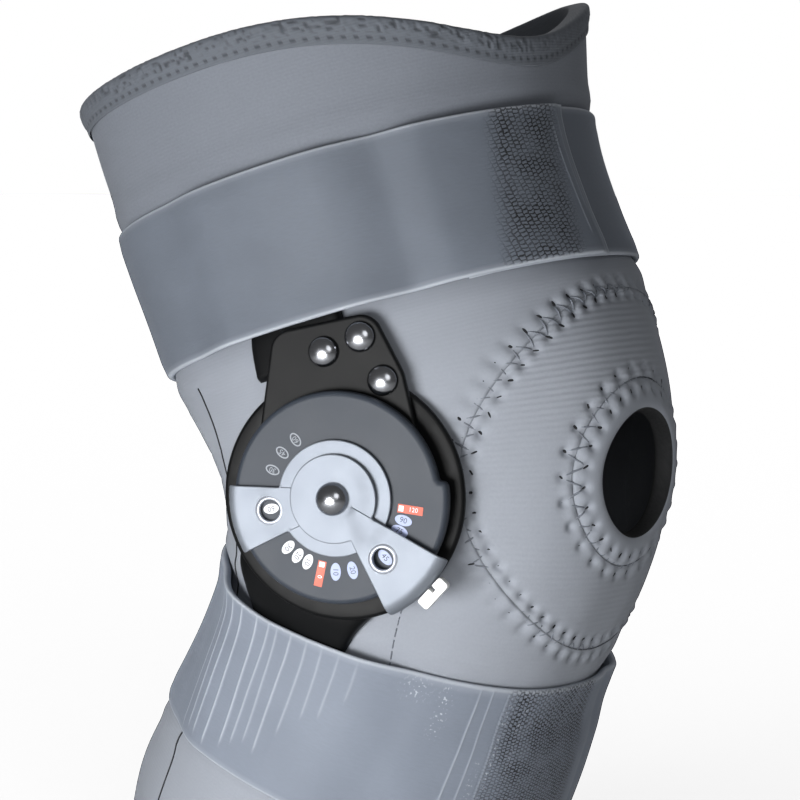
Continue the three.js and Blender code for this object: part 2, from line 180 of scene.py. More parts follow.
def rim_at(turn):
    return RIM["along"] - RIM["dip"] * bump(wrapped(turn - RIM["turn"]), 0, RIM["spread"])


def bottom_at(turn):
    return np.full(np.shape(turn), float(BOTTOM))


def oval_place(angle, reach):
    """Place along and round the leg. angle: 0 at the top of the oval, a quarter turn on the hinge's side."""
    along = OVAL["along"] + OVAL["half_along"] * reach * np.cos(angle)
    return along, OVAL["turn"] + OVAL["half_turn"] * reach ** OVAL["fullness"] * np.sin(angle)


def on_oval(angle, reach, height=0.0):
    along, turn = oval_place(angle, reach)
    return on_leg(along, turn, height)


def strap_rise(spec, turn):
    """How much higher a strap's top edge runs towards the back."""
    return spec["back_rise"] * smooth(np.abs(wrapped(turn)), rad(100), rad(150))


HINGE_X = np.array([math.cos(HINGE_FACING), math.sin(HINGE_FACING), 0])
HINGE_Y = np.array([0, 0, 1.0])
HINGE_Z = np.array([math.sin(HINGE_FACING), -math.cos(HINGE_FACING), 0])
HINGE_ORIGIN = on_leg(HINGE_FOOT["along"], HINGE_FOOT["turn"])


def on_hinge(points):
    x, y, z = np.moveaxis(np.asarray(points, float), -1, 0)
    return HINGE_ORIGIN + x[..., None] * HINGE_X + y[..., None] * HINGE_Y + z[..., None] * HINGE_Z


# Materials
def linear(hex_code, alpha=1.0):
    """sRGB hex to linear RGBA."""
    channels = [int(hex_code[i:i + 2], 16) / 255 for i in (0, 2, 4)]
    return (*[c / 12.92 if c <= 0.04045 else ((c + 0.055) / 1.055) ** 2.4 for c in channels], alpha)


def node(tree, kind, inputs=(), out=0, **settings):
    """Adds a node and gives one of its outputs. inputs: values or other nodes' outputs, by socket or in the
    sockets' order; settings: the node's own properties."""
    made = tree.nodes.new("ShaderNode" + kind)
    for name, value in settings.items():
        setattr(made, name, value)
    for key, value in inputs.items() if isinstance(inputs, dict) else enumerate(inputs):
        if isinstance(value, bpy.types.NodeSocket):
            tree.links.new(value, made.inputs[key])
        else:
            made.inputs[key].default_value = value
    return made.outputs[out] if made.outputs else None


def finish_named(name):
    """An empty material and its tree."""
    made = bpy.data.materials.new(name)
    made.use_nodes = True
    made.node_tree.nodes.clear()
    return made, made.node_tree


def cloth_finish(name, yarn, dark, rib_mm, rib_depth, sheen, painted_top_shade=None, marks=()):
    """Knitted or woven face. yarn and dark: its colour and the shade between its ribs; painted_top_shade: a
    darker colour that the piece's own painted_top_shade marking brings in, painted shade towards the top of
    the leg;
    marks: (marking, colour) pairs that recolour the yarn."""
    # Yarn loops of 0.4 mm are drawn at 0.8 mm, as fine as shows at this distance
    loop_mm, cloud_mm = 0.8, 34
    made, tree = finish_named(name)
    place = node(tree, "UVMap", uv_map="weave")
    # At scale 1 a wave texture has 20 / TAU waves in each unit
    ribs = node(tree, "TexWave", {"Vector": place, "Scale": TAU / 20 / rib_mm, "Distortion": 0.6,
                                  "Detail": 1.0, "Detail Scale": 0.6}, "Fac", bands_direction="Y")
    loops = node(tree, "TexNoise", {"Vector": place, "Scale": 1 / loop_mm, "Detail": 2.0}, "Fac")
    cloud = node(tree, "TexNoise", {"Vector": place, "Scale": 1 / cloud_mm, "Detail": 3.0}, "Fac")
    # Painted shade: this marking darkens the yarn towards the top of the leg
    tints = [("painted_top_shade", painted_top_shade)] if painted_top_shade else []
    tints.append((node(tree, "MapRange", [cloud, 0.3, 0.75, 0.2, 0.0]), dark))
    tints.append((node(tree, "MapRange", [loops, 0.35, 0.7, 0.16, 0.0]), dark))
    tints += marks
    colour = linear(yarn)
    for share, tint in tints:
        if isinstance(share, str):
            share = node(tree, "Attribute", out="Fac", attribute_name=share)
        colour = node(tree, "Mix", {0: share, 6: colour, 7: linear(tint)}, 2, data_type="RGBA")
    fine = node(tree, "Bump", {"Strength": 0.25, "Distance": 0.12 * MM, "Height": loops})
    ribbed = node(tree, "Attribute", out="Fac", attribute_name="ribs")
    height = node(tree, "Math", [ribs, ribbed], operation="MULTIPLY")
    normal = node(tree, "Bump", {"Strength": 1.0, "Distance": rib_depth * MM, "Height": height,
                                 "Normal": fine})
    rough = node(tree, "MapRange", [loops, 0.3, 0.7, 0.72, 0.9])
    shader = node(tree, "BsdfPrincipled", {
        "Base Color": colour, "Roughness": rough, "IOR": 1.5, "Normal": normal,
        "Sheen Weight": sheen, "Sheen Roughness": 0.5, "Sheen Tint": linear("c9d0da")})
    node(tree, "OutputMaterial", {"Surface": shader})
    return made


def strap_finish(name, yarn, dark, cell_mm, lean):
    """Brushed loop elastic: soft and matt, with a painted highlight along its edges, paler raised creases,
    pale pulled loops, and a patch of worn hook tape that breaks into small dark-edged cells. lean: slant of
    the cells in degrees."""
    # Pile of 0.3 mm is drawn at 0.7 mm, drawn out along the strap
    pile_mm, pile_length, loop_mm, worn_mm, cloud_mm = 0.7, 2.4, 0.9, 9, 26
    made, tree = finish_named(name)
    place = node(tree, "UVMap", uv_map="weave")
    patch, crease, edge, specks = (node(tree, "Attribute", out="Fac", attribute_name=marking)
                                   for marking in ("patch", "crease", "edge", "specks"))
    # Cells of the hook tape: columns across the strap that lean with the tape and are pulled uneven
    shaken = node(tree, "TexNoise", {"Vector": place, "Scale": 0.9 / cell_mm, "Detail": 1.0}, "Color")
    uneven = node(tree, "VectorMath", [shaken, (0.75 * cell_mm,) * 3, place], operation="MULTIPLY_ADD")
    leaning = node(tree, "Mapping", {"Vector": uneven, "Rotation": (0, 0, rad(90 + lean))})
    cells = node(tree, "TexBrick", {"Vector": leaning, "Scale": 1.0, "Mortar Size": 0.14 * cell_mm,
                                    "Mortar Smooth": 0.6, "Brick Width": 0.62 * cell_mm,
                                    "Row Height": cell_mm}, "Fac")
    worn = node(tree, "TexNoise", {"Vector": place, "Scale": 1 / worn_mm, "Detail": 2.0}, "Fac")
    crack = node(tree, "MapRange", [cells, 0.0, 0.7, 0.0, 1.0])
    for share in (patch, node(tree, "MapRange", [worn, 0.3, 0.6, 0.5, 1.0])):
        crack = node(tree, "Math", [crack, share], operation="MULTIPLY")
    brushed = node(tree, "Mapping", {"Vector": place, "Scale": (1 / pile_length, 1 / pile_mm, 1)})
    pile = node(tree, "TexNoise", {"Vector": brushed, "Scale": 1.0, "Detail": 3.0}, "Fac")
    cloud = node(tree, "TexNoise", {"Vector": place, "Scale": 1 / cloud_mm, "Detail": 2.0}, "Fac")
    shade = node(tree, "MapRange", [cloud, 0.3, 0.7, 0.35, 0.0])
    grain = node(tree, "MapRange", [pile, 0.35, 0.7, 0.22, 0.0])
    loops = node(tree, "TexNoise", {"Vector": place, "Scale": 1 / loop_mm, "Detail": 1.0}, "Fac")
    pulled = node(tree, "MapRange", [loops, 0.6, 0.67, 0.0, 0.55])
    pulled = node(tree, "Math", [pulled, specks], operation="MULTIPLY")
    colour = linear(yarn)
    # The edge marking paints a highlight along the strap's edges
    for share, tint in ((shade, dark), (grain, dark), (crease, "cfd6e0"), (edge, "c4cad3"), (crack, "16181b"),
                        (pulled, "dfe5ee")):
        colour = node(tree, "Mix", {0: share, 6: colour, 7: linear(tint)}, 2, data_type="RGBA")
    fine = node(tree, "Bump", {"Strength": 0.35, "Distance": 0.15 * MM, "Height": pile})
    normal = node(tree, "Bump", {"Strength": 0.9, "Distance": 0.5 * MM, "Height": crack, "Normal": fine},
                  invert=True)
    rough = node(tree, "MapRange", [pile, 0.3, 0.7, 0.6, 0.78])
    shader = node(tree, "BsdfPrincipled", {
        "Base Color": colour, "Roughness": rough, "IOR": 1.5, "Normal": normal,
        "Sheen Weight": 0.25, "Sheen Roughness": 0.45, "Sheen Tint": linear("ccd6e6")})
    node(tree, "OutputMaterial", {"Surface": shader})
    return made


def hard_finish(name, colour, worn, rough, grit_mm, depth, metallic=0.0, specular=0.5, streak=1.0):
    """Moulded plastic or metal: a fine grit that breaks the highlight, and a colour that wears a little.
    streak above 1 draws the grit out into a brushed grain."""
    # Real grit is finer than 0.1 mm and is drawn at grit_mm, as fine as shows at this distance
    wear_mm = 11.1
    made, tree = finish_named(name)
    place = node(tree, "TexCoord", out="Object")
    fine = 1 / (grit_mm * MM)
    stretched = node(tree, "Mapping", {"Vector": place, "Scale": (fine / streak, fine, fine)})
    grit = node(tree, "TexNoise", {"Vector": stretched, "Scale": 1.0, "Detail": 2.0}, "Fac")
    cloud = node(tree, "TexNoise", {"Vector": place, "Scale": 1 / (wear_mm * MM), "Detail": 3.0}, "Fac")
    share = node(tree, "MapRange", [cloud, 0.35, 0.7, 0.0, 0.5])
    mixed = node(tree, "Mix", {0: share, 6: linear(colour), 7: linear(worn)}, 2, data_type="RGBA")
    gloss = node(tree, "MapRange", [cloud, 0.3, 0.7, rough * 0.96, rough * 1.05])
    normal = node(tree, "Bump", {"Strength": 0.3, "Distance": depth * MM, "Height": grit})
    shader = node(tree, "BsdfPrincipled", {
        "Base Color": mixed, "Roughness": gloss, "Normal": normal, "Metallic": metallic,
        "Specular IOR Level": specular})
    node(tree, "OutputMaterial", {"Surface": shader})
    return made


# Nylon-faced neoprene: a matt, slightly furry grey skin over foam, with painted shade that darkens it towards
# the thigh
NEOPRENE = cloth_finish("nylon_faced_neoprene", "9a9fa8", "7d828b", 1.1, 0.05, 0.18, painted_top_shade="70757e")
# Fine cross-ribbed nylon knit: the same grey, with ribs 1.25 mm apart that catch the light from below;
# painted shade darkens it towards its top
RIBBED_KNIT = cloth_finish("cross_ribbed_nylon_knit", "9ca1aa", "7b8089", 1.25, 0.16, 0.18, painted_top_shade="7f848d")
# Padded neoprene rim: smooth stretched jersey over foam, with painted shade towards its top
PADDED_RIM = cloth_finish("padded_jersey_rim", "979ca5", "7b8089", 1.1, 0.04, 0.2, painted_top_shade="7f848d")
# Jersey lining glued to the foam: dark grey, dull, fine-ribbed
JERSEY_LINING = cloth_finish("dark_grey_jersey_lining", "55585e", "3d4045", 1.4, 0.05, 0.05)
# Cut black foam of the kneecap hole's edge: dead black, no sheen
CUT_FOAM = cloth_finish("cut_black_foam", "1a1b1d", "101112", 1.4, 0.03, 0.0)
# Woven nylon edge tape with a looped pile: matt, darker than the sleeve, with painted shade between its loops
# and darker along its sunk stitches
EDGE_TAPE = cloth_finish("woven_nylon_edge_tape", "62676f", "3d4147", 0.9, 0.08, 0.12,
                         marks=[("painted_loop_shade_and_stitches", "2e3136")])
# Spun polyester thread: a darker grey than the cloth, slightly shiny
THREAD = hard_finish("spun_polyester_thread", "686d76", "7a8089", 0.6, 0.3, 0.05)
# Needle holes: deep shade in the cloth
NEEDLE_SHADE = hard_finish("needle_hole_shade", "1b1c1f", "232529", 0.9, 0.4, 0.03)
# Brushed loop elastic: soft and napped with a faint cool bloom, blue-grey; the thigh strap's copy is painted
# darker as shade
UPPER_ELASTIC = strap_finish("brushed_loop_elastic_painted_shade", "69707b", "515760", 2.0, 9)
LOWER_ELASTIC = strap_finish("brushed_loop_elastic_blue_grey", "828a97", "6c737f", 1.7, 0)
# Glass-filled nylon, moulded: satin black with a fine spark-eroded grain
BLACK_NYLON = hard_finish("moulded_black_nylon", "0b0c0d", "111214", 0.46, 0.35, 0.05, specular=0.14)
# ABS, moulded dark grey: soft satin
DIAL_ABS = hard_finish("moulded_dark_grey_abs", "343a43", "3a4049", 0.48, 0.3, 0.04, specular=0.3)
# Anodised aluminium, bead-blasted: pale silver with soft broad highlights
SATIN_ALUMINIUM = hard_finish("satin_anodised_aluminium", "80868f", "7d838d", 0.5, 0.25, 0.03, metallic=0.45,
                              specular=0.3, streak=6)
# Aluminium of the levers' window collars: the sheet's metal, painted brighter as a highlight, and shinier
BRIGHT_COLLAR_ALUMINIUM = hard_finish("collar_aluminium_painted_highlight", "a9aeb8", "9da2ac", 0.34, 0.25, 0.02, metallic=0.5)
# Acetal, moulded white: smooth and slightly waxy
WHITE_ACETAL = hard_finish("moulded_white_acetal", "f4f4f2", "e9e9e6", 0.3, 0.3, 0.02)
# Chromed steel, polished: dark mirror domes with one soft bright spot
CHROMED_STEEL = hard_finish("polished_chromed_steel", "a2a4a9", "9a9ca1", 0.21, 0.5, 0.01, metallic=1.0)
# Screen-printed enamel inks: flat and clean-edged, faintly glossy
WHITE_INK = hard_finish("screen_printed_white_ink", "eef0f3", "e0e3e8", 0.45, 0.2, 0.02)
# Ink of the outlined ovals, printed darker than the white ink as painted shade
SHADED_OUTLINE_INK = hard_finish("screen_printed_outline_ink_painted_shade", "8d939c", "858b94", 0.45, 0.2, 0.02)
BLUE_INK = hard_finish("screen_printed_pale_blue_ink", "aab6dc", "9fabd2", 0.45, 0.2, 0.02)
ORANGE_INK = hard_finish("screen_printed_orange_ink", "d2583a", "c84e32", 0.45, 0.2, 0.02)
DARK_INK = hard_finish("screen_printed_dark_ink", "3a4150", "434b5c", 0.5, 0.2, 0.02)


# Meshes
def quads(rows, columns, ring_rows=False, ring_columns=False):
    """Faces of a grid of points, row by row."""
    r, c = np.meshgrid(np.arange(rows if ring_rows else rows - 1),
                       np.arange(columns if ring_columns else columns - 1), indexing="ij")
    up, on = (r + 1) % rows * columns, (c + 1) % columns
    return np.stack([r * columns + c, r * columns + on, up + on, up + c], -1).reshape(-1, 4).tolist()


def tube(rows, columns):
    """Faces of a row of rings, closed at both ends."""
    last = (rows - 1) * columns
    ends = [list(range(columns))[::-1], list(range(last, last + columns))]
    return quads(rows, columns, ring_columns=True) + ends


def lined(faces, count, edges):
    """Faces of a cloth wall whose lining's points come count later, joined along the edges, and the finish of
    each: 0 outside, 1 for the lining and the edges."""
    lining = [[i + count for i in face[::-1]] for face in faces]
    joins = [[p, q, q + count, p + count] for edge in edges for p, q in zip(edge, edge[1:] + edge[:1])]
    return faces + lining + joins, [0] * len(faces) + [1] * (len(lining) + len(joins))


def piece(name, points, faces, finishes, slot, body="brace", replaces=(), weave=None, period=None,
          markings=None, finish_of=None, sharp=None):
    """One object from points in millimetres. weave: its flat cloth coordinates; period: where they start
    again round the leg; markings: a number for every point, by name; finish_of: the finish of every face;
    sharp: how far in degrees an edge may bend and still look smooth."""
    mesh = bpy.data.meshes.new(name)
    mesh.from_pydata((np.asarray(points) * MM).tolist(), [], faces)
    if finish_of is not None:
        mesh.polygons.foreach_set("material_index", np.asarray(finish_of, np.int32))
    for marking, values in (markings or {}).items():
        marked = mesh.attributes.new(marking, "FLOAT", "POINT")
        marked.data.foreach_set("value", np.ravel(values).astype(np.float32))
    if weave is not None:
        corners = np.zeros(len(mesh.loops), np.int32)
        mesh.loops.foreach_get("vertex_index", corners)
        flat = np.asarray(weave, float)[corners]
        if period:
            counts = np.array([len(face) for face in faces])
            firsts = np.concatenate([[0], np.cumsum(counts)[:-1]])
            most = np.repeat(np.maximum.reduceat(flat[:, 0], firsts), counts)
            flat[:, 0] += np.where(most - flat[:, 0] > period / 2, period, 0)
        mesh.uv_layers.new(name="weave").uv.foreach_set("vector", flat.astype(np.float32).ravel())
    shell = bmesh.new()
    shell.from_mesh(mesh)
    bmesh.ops.recalc_face_normals(shell, faces=shell.faces)
    shell.to_mesh(mesh)
    shell.free()
    mesh.shade_smooth()
    if sharp:
        mesh.set_sharp_from_angle(angle=rad(sharp))
    made = bpy.data.objects.new(name, mesh)
    bpy.context.scene.collection.objects.link(made)
    for finish in finishes:
        mesh.materials.append(finish)
    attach(made, body)
    if replaces:
        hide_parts(*replaces)
    return made


def gathered(parts):
    """Several (points, faces) as one."""
    points, faces, count = [], [], 0
    for part_points, part_faces in parts:
        points.append(np.asarray(part_points, float).reshape(-1, 3))
        faces += [[i + count for i in face] for face in part_faces]
        count += len(points[-1])
    return np.concatenate(points), faces


def rod(path, radii, sides=6):
    """Round rod along a path, closed at its ends."""
    askew = HINGE_Y + 0.31 * HINGE_X  # a direction that no rod follows
    ahead = np.gradient(path, axis=0)
    ahead /= np.linalg.norm(ahead, axis=1)[:, None]
    across = np.cross(ahead, askew)
    across /= np.linalg.norm(across, axis=1)[:, None]
    over = np.cross(ahead, across)
    turns = np.arange(sides) / sides * TAU
    rings = path[:, None] + np.asarray(radii)[:, None, None] * (
        np.cos(turns)[None, :, None] * across[:, None] + np.sin(turns)[None, :, None] * over[:, None])
    return rings.reshape(-1, 3), tube(len(path), sides)


def closed_curve(points, steps):
    """Smooth closed line through points."""
    points = np.asarray(points, float)
    u = (np.arange(steps) / steps)[:, None]
    made = []
    for i in range(len(points)):
        p0, p1, p2, p3 = (points[(i + k) % len(points)] for k in (-1, 0, 1, 2))
        made.append(0.5 * (2 * p1 + (p2 - p0) * u + (2 * p0 - 5 * p1 + 4 * p2 - p3) * u ** 2
                           + (3 * p1 - p0 - 3 * p2 + p3) * u ** 3))
    return np.concatenate(made)


# Zigzag seams round the kneecap oval
def evenly_round(reach, count, start=0.0):
    """Angles of the oval at equal steps along its line at a reach."""
    angles = np.linspace(0, TAU, 721)
    line = on_oval(angles, reach)
    gone = np.concatenate([[0], np.cumsum(np.linalg.norm(np.diff(line, axis=0), axis=1))])
    return np.interp((np.arange(count) + start) / count * gone[-1], gone, angles)


def ring_top(reach):
    """Height of the padded ring's top, nothing beyond its edge."""
    share = np.clip((reach - RING_HOLE) / (RING_EDGE - RING_HOLE), 0, 1)
    return np.interp(share, [0, 0.06, 0.2, 0.45, 0.8, 1], [0.2, 0.7, 1.4, 1.7, 1.0, 0.0])


def panel_top(reach):
    return np.zeros(np.shape(reach))


class ZigzagSeam:
    """Seam line, the two rows of needle holes beside it, and the pillows that the thread pulls up."""

    # Heights and widths of what the thread does to the cloth: at single places, and along the seam's line
    PILLOW, DIMPLE = (0.7, 2.1), (-1.25, 1.35)
    GROOVE, HOLLOW = (0.18, 1.0), (0.35, 4.5)
    NEAR = 14
    THREAD_RADIUS, THREAD_ENDS, THREAD_ARCH, THREAD_SINK = 0.32, -0.5, 0.75, 0.36
    SLIT_LONG, SLIT_WIDE, SLIT_LIFT, SLIT_DOME, SLIT_DEEP, SLIT_SIDES = 1.0, 0.36, 0.36, 0.14, 0.5, 12
    # Unevenness of hand-fed sewing: least and how much more, and the spread of a slit's slant
    PULL_LEAST, PULL_MORE, SLIT_LEAST, SLIT_MORE, SLIT_SKEW = 0.7, 0.6, 0.8, 0.5, 0.6

    def __init__(self, reach, inner, outer, count, depth, proud_at, proud_spread):
        self.inner, self.outer, self.depth = inner, outer, depth
        # Where round the oval the thread lies proud of the cloth; elsewhere it sinks in between the pillows
        self.proud_at, self.proud_spread = rad(proud_at), rad(proud_spread)
        self.inner_angles = evenly_round(reach, count)
        self.outer_angles = evenly_round(reach, count, 0.5)
        self.pull = np.tile(self.PULL_LEAST + self.PULL_MORE * chance.random(count), 2)
        self.line = on_oval(np.linspace(0, TAU, 361)[:-1], reach)
        self.holes = np.concatenate([on_oval(self.inner_angles, inner), on_oval(self.outer_angles, outer)])
        self.pillows = np.concatenate([on_oval(self.outer_angles, inner + 0.25 * (outer - inner)),
                                       on_oval(self.inner_angles, inner + 0.75 * (outer - inner))])

    def relief(self, spots, block=4000):
        """Rise and fall of the cloth at places on the sleeve's plain outer face, a block at a time."""
        flat = spots.reshape(-1, 3)
        rise = np.zeros(len(flat))
        for start in range(0, len(flat), block):
            some = flat[start:start + block]
            far = np.sqrt(((some[:, None] - self.line) ** 2).sum(-1).min(1))
            near = far < self.NEAR
            change = np.zeros(len(some))
            for places, (height, width) in ((self.pillows, self.PILLOW), (self.holes, self.DIMPLE)):
                squared = ((some[near][:, None] - places) ** 2).sum(-1)
                change[near] += (height * np.exp(-squared / width ** 2) * self.pull).sum(1) * self.depth
            for height, width in (self.GROOVE, self.HOLLOW):
                change -= height * np.exp(-(far / width) ** 2) * self.depth
            rise[start:start + block] = change
        return rise.reshape(spots.shape[:-1])

    def threads(self, top):
        """Every stitch from hole to hole, lying in the cloth at its ends and over it between them."""
        share = np.linspace(0, 1, 9)
        arch = np.sin(math.pi * share)
        made = []
        following = np.append(self.inner_angles[1:], self.inner_angles[0] + TAU)
        for begin, middle, end in zip(self.inner_angles, self.outer_angles, following):
            for from_angle, from_reach, to_angle, to_reach in ((begin, self.inner, middle, self.outer),
                                                               (middle, self.outer, end, self.inner)):
                angle = from_angle + (to_angle - from_angle) * share
                reach = from_reach + (to_reach - from_reach) * share
                sunk = 1 - bump(wrapped(angle - self.proud_at), 0, self.proud_spread)
                lift = self.THREAD_ENDS - self.THREAD_SINK * sunk + self.THREAD_ARCH * arch ** 0.6
                height = top(reach) + self.relief(on_oval(angle, reach)) + lift
                made.append(rod(on_oval(angle, reach, height), self.THREAD_RADIUS * (0.55 + 0.45 * arch)))
        return gathered(made)

    def needle_holes(self, top):
        """Shaded slits where the thread goes in, long in the seam's cross direction."""
        made = []
        sides = self.SLIT_SIDES
        around = (np.arange(sides) / sides * TAU)[:, None]
        faces = [[i, (i + 1) % sides, sides] for i in range(sides)]
        faces += [[(i + 1) % sides, i, sides + 1] for i in range(sides)]
        for angles, reach in ((self.inner_angles, self.inner), (self.outer_angles, self.outer)):
            for angle in angles:
                middle, ahead, beside = on_oval(np.array([angle, angle, angle + 0.02]),
                                                np.array([reach, reach + 0.01, reach]))
                along, aside = ahead - middle, beside - middle
                along, aside = along / np.linalg.norm(along), aside / np.linalg.norm(aside)
                along = along + aside * chance.normal(0, self.SLIT_SKEW)
                out = np.cross(along, aside)
                out /= np.linalg.norm(out)
                if out @ (middle * [1, 1, 0]) < 0:
                    out = -out
                size = self.SLIT_LEAST + self.SLIT_MORE * chance.random()
                lift = float(top(reach)) + float(self.relief(middle[None])[0]) + self.SLIT_LIFT
                slit = (self.SLIT_LONG * size * np.cos(around) * along
                        + self.SLIT_WIDE * size * np.sin(around) * aside)
                slit = np.vstack([slit, self.SLIT_DOME * out, -self.SLIT_DEEP * out])
                made.append((middle + out * lift + slit, faces))
        return gathered(made)


RING_SEAM = ZigzagSeam(0.4995, 0.437, 0.55, 26, 0.9, proud_at=95, proud_spread=35)
PANEL_SEAM = ZigzagSeam(1.0, 0.945, 1.055, 56, 1.0, proud_at=18, proud_spread=22)


def zigzag_stitching(name, seam, top, slot):
    return [piece(f"{name}_thread", *seam.threads(top), [THREAD], slot),
            piece(f"{name}_needle_holes", *seam.needle_holes(top), [NEEDLE_SHADE], slot)]


# Relief of the sleeve
def cloth_waves(along, turn):
    """Slow unevenness of worn cloth, and the creases that a bend leaves behind the knee."""
    spacing, depth = 12.5, 1.5
    behind = wrapped(turn - math.pi)
    line = along + 6 * np.cos(behind * 1.7) + 1.5 * np.sin(behind * 5)
    crease = (1 - np.abs(np.sin(math.pi * line / spacing))) ** 3
    creased = bump(behind, 0.1 * np.sin(along / 6), rad(38)) * bump(along, 2, 21)
    broad = 0.35 * np.sin(along / 17 + 2.1 * np.sin(turn * 2)) * np.sin(turn * 3 + along / 41)
    small = 0.22 * np.sin(along / 7.3 + turn * 5 + 1.3) * np.sin(turn * 7 - along / 23)
    return broad + small - depth * creased * crease


def strap_squeeze(along, turn):
    """The sleeve gives under a strap and swells beside its edges."""
    give, swell, away, width = 0.45, 0.75, 5, 4
    rise = np.zeros(np.broadcast(along, turn).shape)
    for spec in (UPPER_STRAP, LOWER_STRAP):
        bottom, top = spec["bottom"], spec["top"] + strap_rise(spec, turn)
        rise = rise - give * smooth(along, bottom - 1, bottom + 3) * (1 - smooth(along, top - 3, top + 1))
        rise = rise + swell * (bump(along, bottom - away, width) + bump(along, top + away, width))
    return rise


def hinge_gathers(along, turn):
    """Short folds of the sleeve in front of the hinge's base."""
    depth, spacing = 0.55, 5.2
    where = bump(turn, rad(55.5), rad(5)) * smooth(along, -14, -6) * (1 - smooth(along, 16, 26))
    return depth * where * np.sin(TAU * along / spacing + 2 * np.sin(turn * 9))


# Sleeve: a grid round the leg with a window at the front, which rings of points fill up to the panel's oval
WINDOW_LOW, WINDOW_HIGH = -34.0, 54.0
WINDOW_LEFT, WINDOW_RIGHT = rad(-72), rad(75)
WINDOW_RINGS, RING_CROWDING = 13, 1.35


def sleeve():
    low_count, window_count, top_count, front_count, back_count = 42, 67, 33, 127, 116
    lining_follows, rib_share = 0.4, 0.25
    low_rows = np.linspace(BOTTOM, WINDOW_LOW, low_count)
    window_rows = np.linspace(WINDOW_LOW, WINDOW_HIGH, window_count)[1:]
    top_shares = np.linspace(0, 1, top_count)[1:]
    front = np.linspace(WINDOW_LEFT, WINDOW_RIGHT, front_count)
    turns = np.concatenate([front, np.linspace(WINDOW_RIGHT, WINDOW_LEFT + TAU, back_count)[1:-1]])
    level = np.concatenate([low_rows, window_rows])
    along = np.concatenate([np.repeat(level[:, None], len(turns), 1),
                            WINDOW_HIGH + top_shares[:, None] * (rim_at(turns) - WINDOW_HIGH)[None]])
    turn = np.broadcast_to(turns, along.shape)
    first, last, right = len(low_rows) - 1, len(level) - 1, len(front) - 1
    hidden = np.zeros(along.shape, bool)
    hidden[first + 1:last, 1:right] = True
    number = np.where(hidden, -1, np.cumsum(~hidden.ravel()).reshape(hidden.shape) - 1)
    corners = np.array(quads(*along.shape, ring_columns=True))
    row, column = np.divmod(corners[:, 0], along.shape[1])
    in_window = (row >= first) & (row < last) & (column < right)
    faces = number.ravel()[corners][~in_window].tolist()
    # The window's edge, once round, and the rings from the oval out to it
    edge = ([(first, c) for c in range(right)] + [(r, right) for r in range(first, last)]
            + [(last, c) for c in range(right, 0, -1)] + [(r, 0) for r in range(last, first, -1)])
    edge_rows, edge_columns = np.array(edge).T
    a = (along[edge_rows, edge_columns] - OVAL["along"]) / OVAL["half_along"]
    b = (turn[edge_rows, edge_columns] - OVAL["turn"]) / OVAL["half_turn"]
    angle = np.arctan2(b, a)
    share = ((np.arange(WINDOW_RINGS) / WINDOW_RINGS) ** RING_CROWDING)[:, None]
    ray_a = np.cos(angle) * (1 - share) + a * share
    ray_b = np.sin(angle) * (1 - share) + b * share
    ray_numbers = int((~hidden).sum()) + np.arange(WINDOW_RINGS * len(edge)).reshape(WINDOW_RINGS, -1)
    chain = np.vstack([ray_numbers, number[edge_rows, edge_columns]])
    on = np.roll(chain, -1, axis=1)
    faces += np.stack([chain[:-1], on[:-1], on[1:], chain[1:]], -1).reshape(-1, 4).tolist()
    along = np.concatenate([along[~hidden], (OVAL["along"] + OVAL["half_along"] * ray_a).ravel()])
    turn = np.concatenate([turn[~hidden], (OVAL["turn"] + OVAL["half_turn"] * ray_b).ravel()])
    rise = (PANEL_SEAM.relief(on_leg(along, turn)) + cloth_waves(along, turn) + strap_squeeze(along, turn)
            + hinge_gathers(along, turn))
    points = np.vstack([on_leg(along, turn, rise), on_leg(along, turn, -WALL + lining_follows * rise)])
    edges = [loop.tolist() for loop in (number[0], number[-1], ray_numbers[0])]
    faces, finish_of = lined(faces, len(along), edges)
    # Painted shade: the sleeve's colour darkens towards the thigh
    return piece("sleeve", points, faces, [NEOPRENE, JERSEY_LINING], "neoprene", replaces=["sleeve_body"],
                 weave=np.tile(np.stack([turn * LEG_RADIUS, along], -1), (2, 1)), period=TAU * LEG_RADIUS,
                 markings={"painted_top_shade": np.tile(smooth(along, 20, 95), 2),
                           "ribs": np.full(len(points), rib_share)},
                 finish_of=finish_of)


# Knee panel and padded ring
def knee_panel():
    around, across, crowding = 400, 50, 0.11
    edge_dip, edge_reach, lining_follows = 0.08, 0.012, 0.3
    share = np.linspace(0, 1, across)
    # Rows crowd towards the two seams
    reaches = PANEL_INNER + (PANEL_OUTER - PANEL_INNER) * (share - crowding * np.sin(TAU * share))
    angle, reach = np.meshgrid(np.arange(around) / around * TAU, reaches, indexing="xy")
    along, turn = oval_place(angle, reach)
    flat = on_leg(along, turn)
    rise = RING_SEAM.relief(flat) + PANEL_SEAM.relief(flat) + cloth_waves(along, turn)
    rise = rise - edge_dip * (bump(reach, PANEL_INNER, edge_reach) + bump(reach, PANEL_OUTER, edge_reach))
    points = np.vstack([on_leg(along, turn, height).reshape(-1, 3)
                        for height in (rise, -WALL + lining_follows * rise)])
    rows = np.arange(around * across).reshape(across, around)
    edges = [rows[0].tolist(), rows[-1].tolist()]
    faces, finish_of = lined(quads(across, around, ring_columns=True), rows.size, edges)
    # The ribs stand out above the kneecap, where the knit is least stretched
    side = np.degrees(turn)
    ribs = 0.18 + 0.82 * smooth(along, 17, 30) * smooth(side, -22, 2) * (1 - smooth(side, 36, 52))
    # Painted shade: the panel's colour darkens towards its top
    return piece("ribbed_knee_panel", points, faces, [RIBBED_KNIT, JERSEY_LINING], "ribbed_knit",
                 replaces=["knee_panel"],
                 weave=np.tile(np.stack([turn.ravel() * LEG_RADIUS, along.ravel()], -1), (2, 1)),
                 markings={"painted_top_shade": np.tile(smooth(along, 30, 60), (2, 1)), "ribs": np.tile(ribs, (2, 1))},
                 finish_of=finish_of)


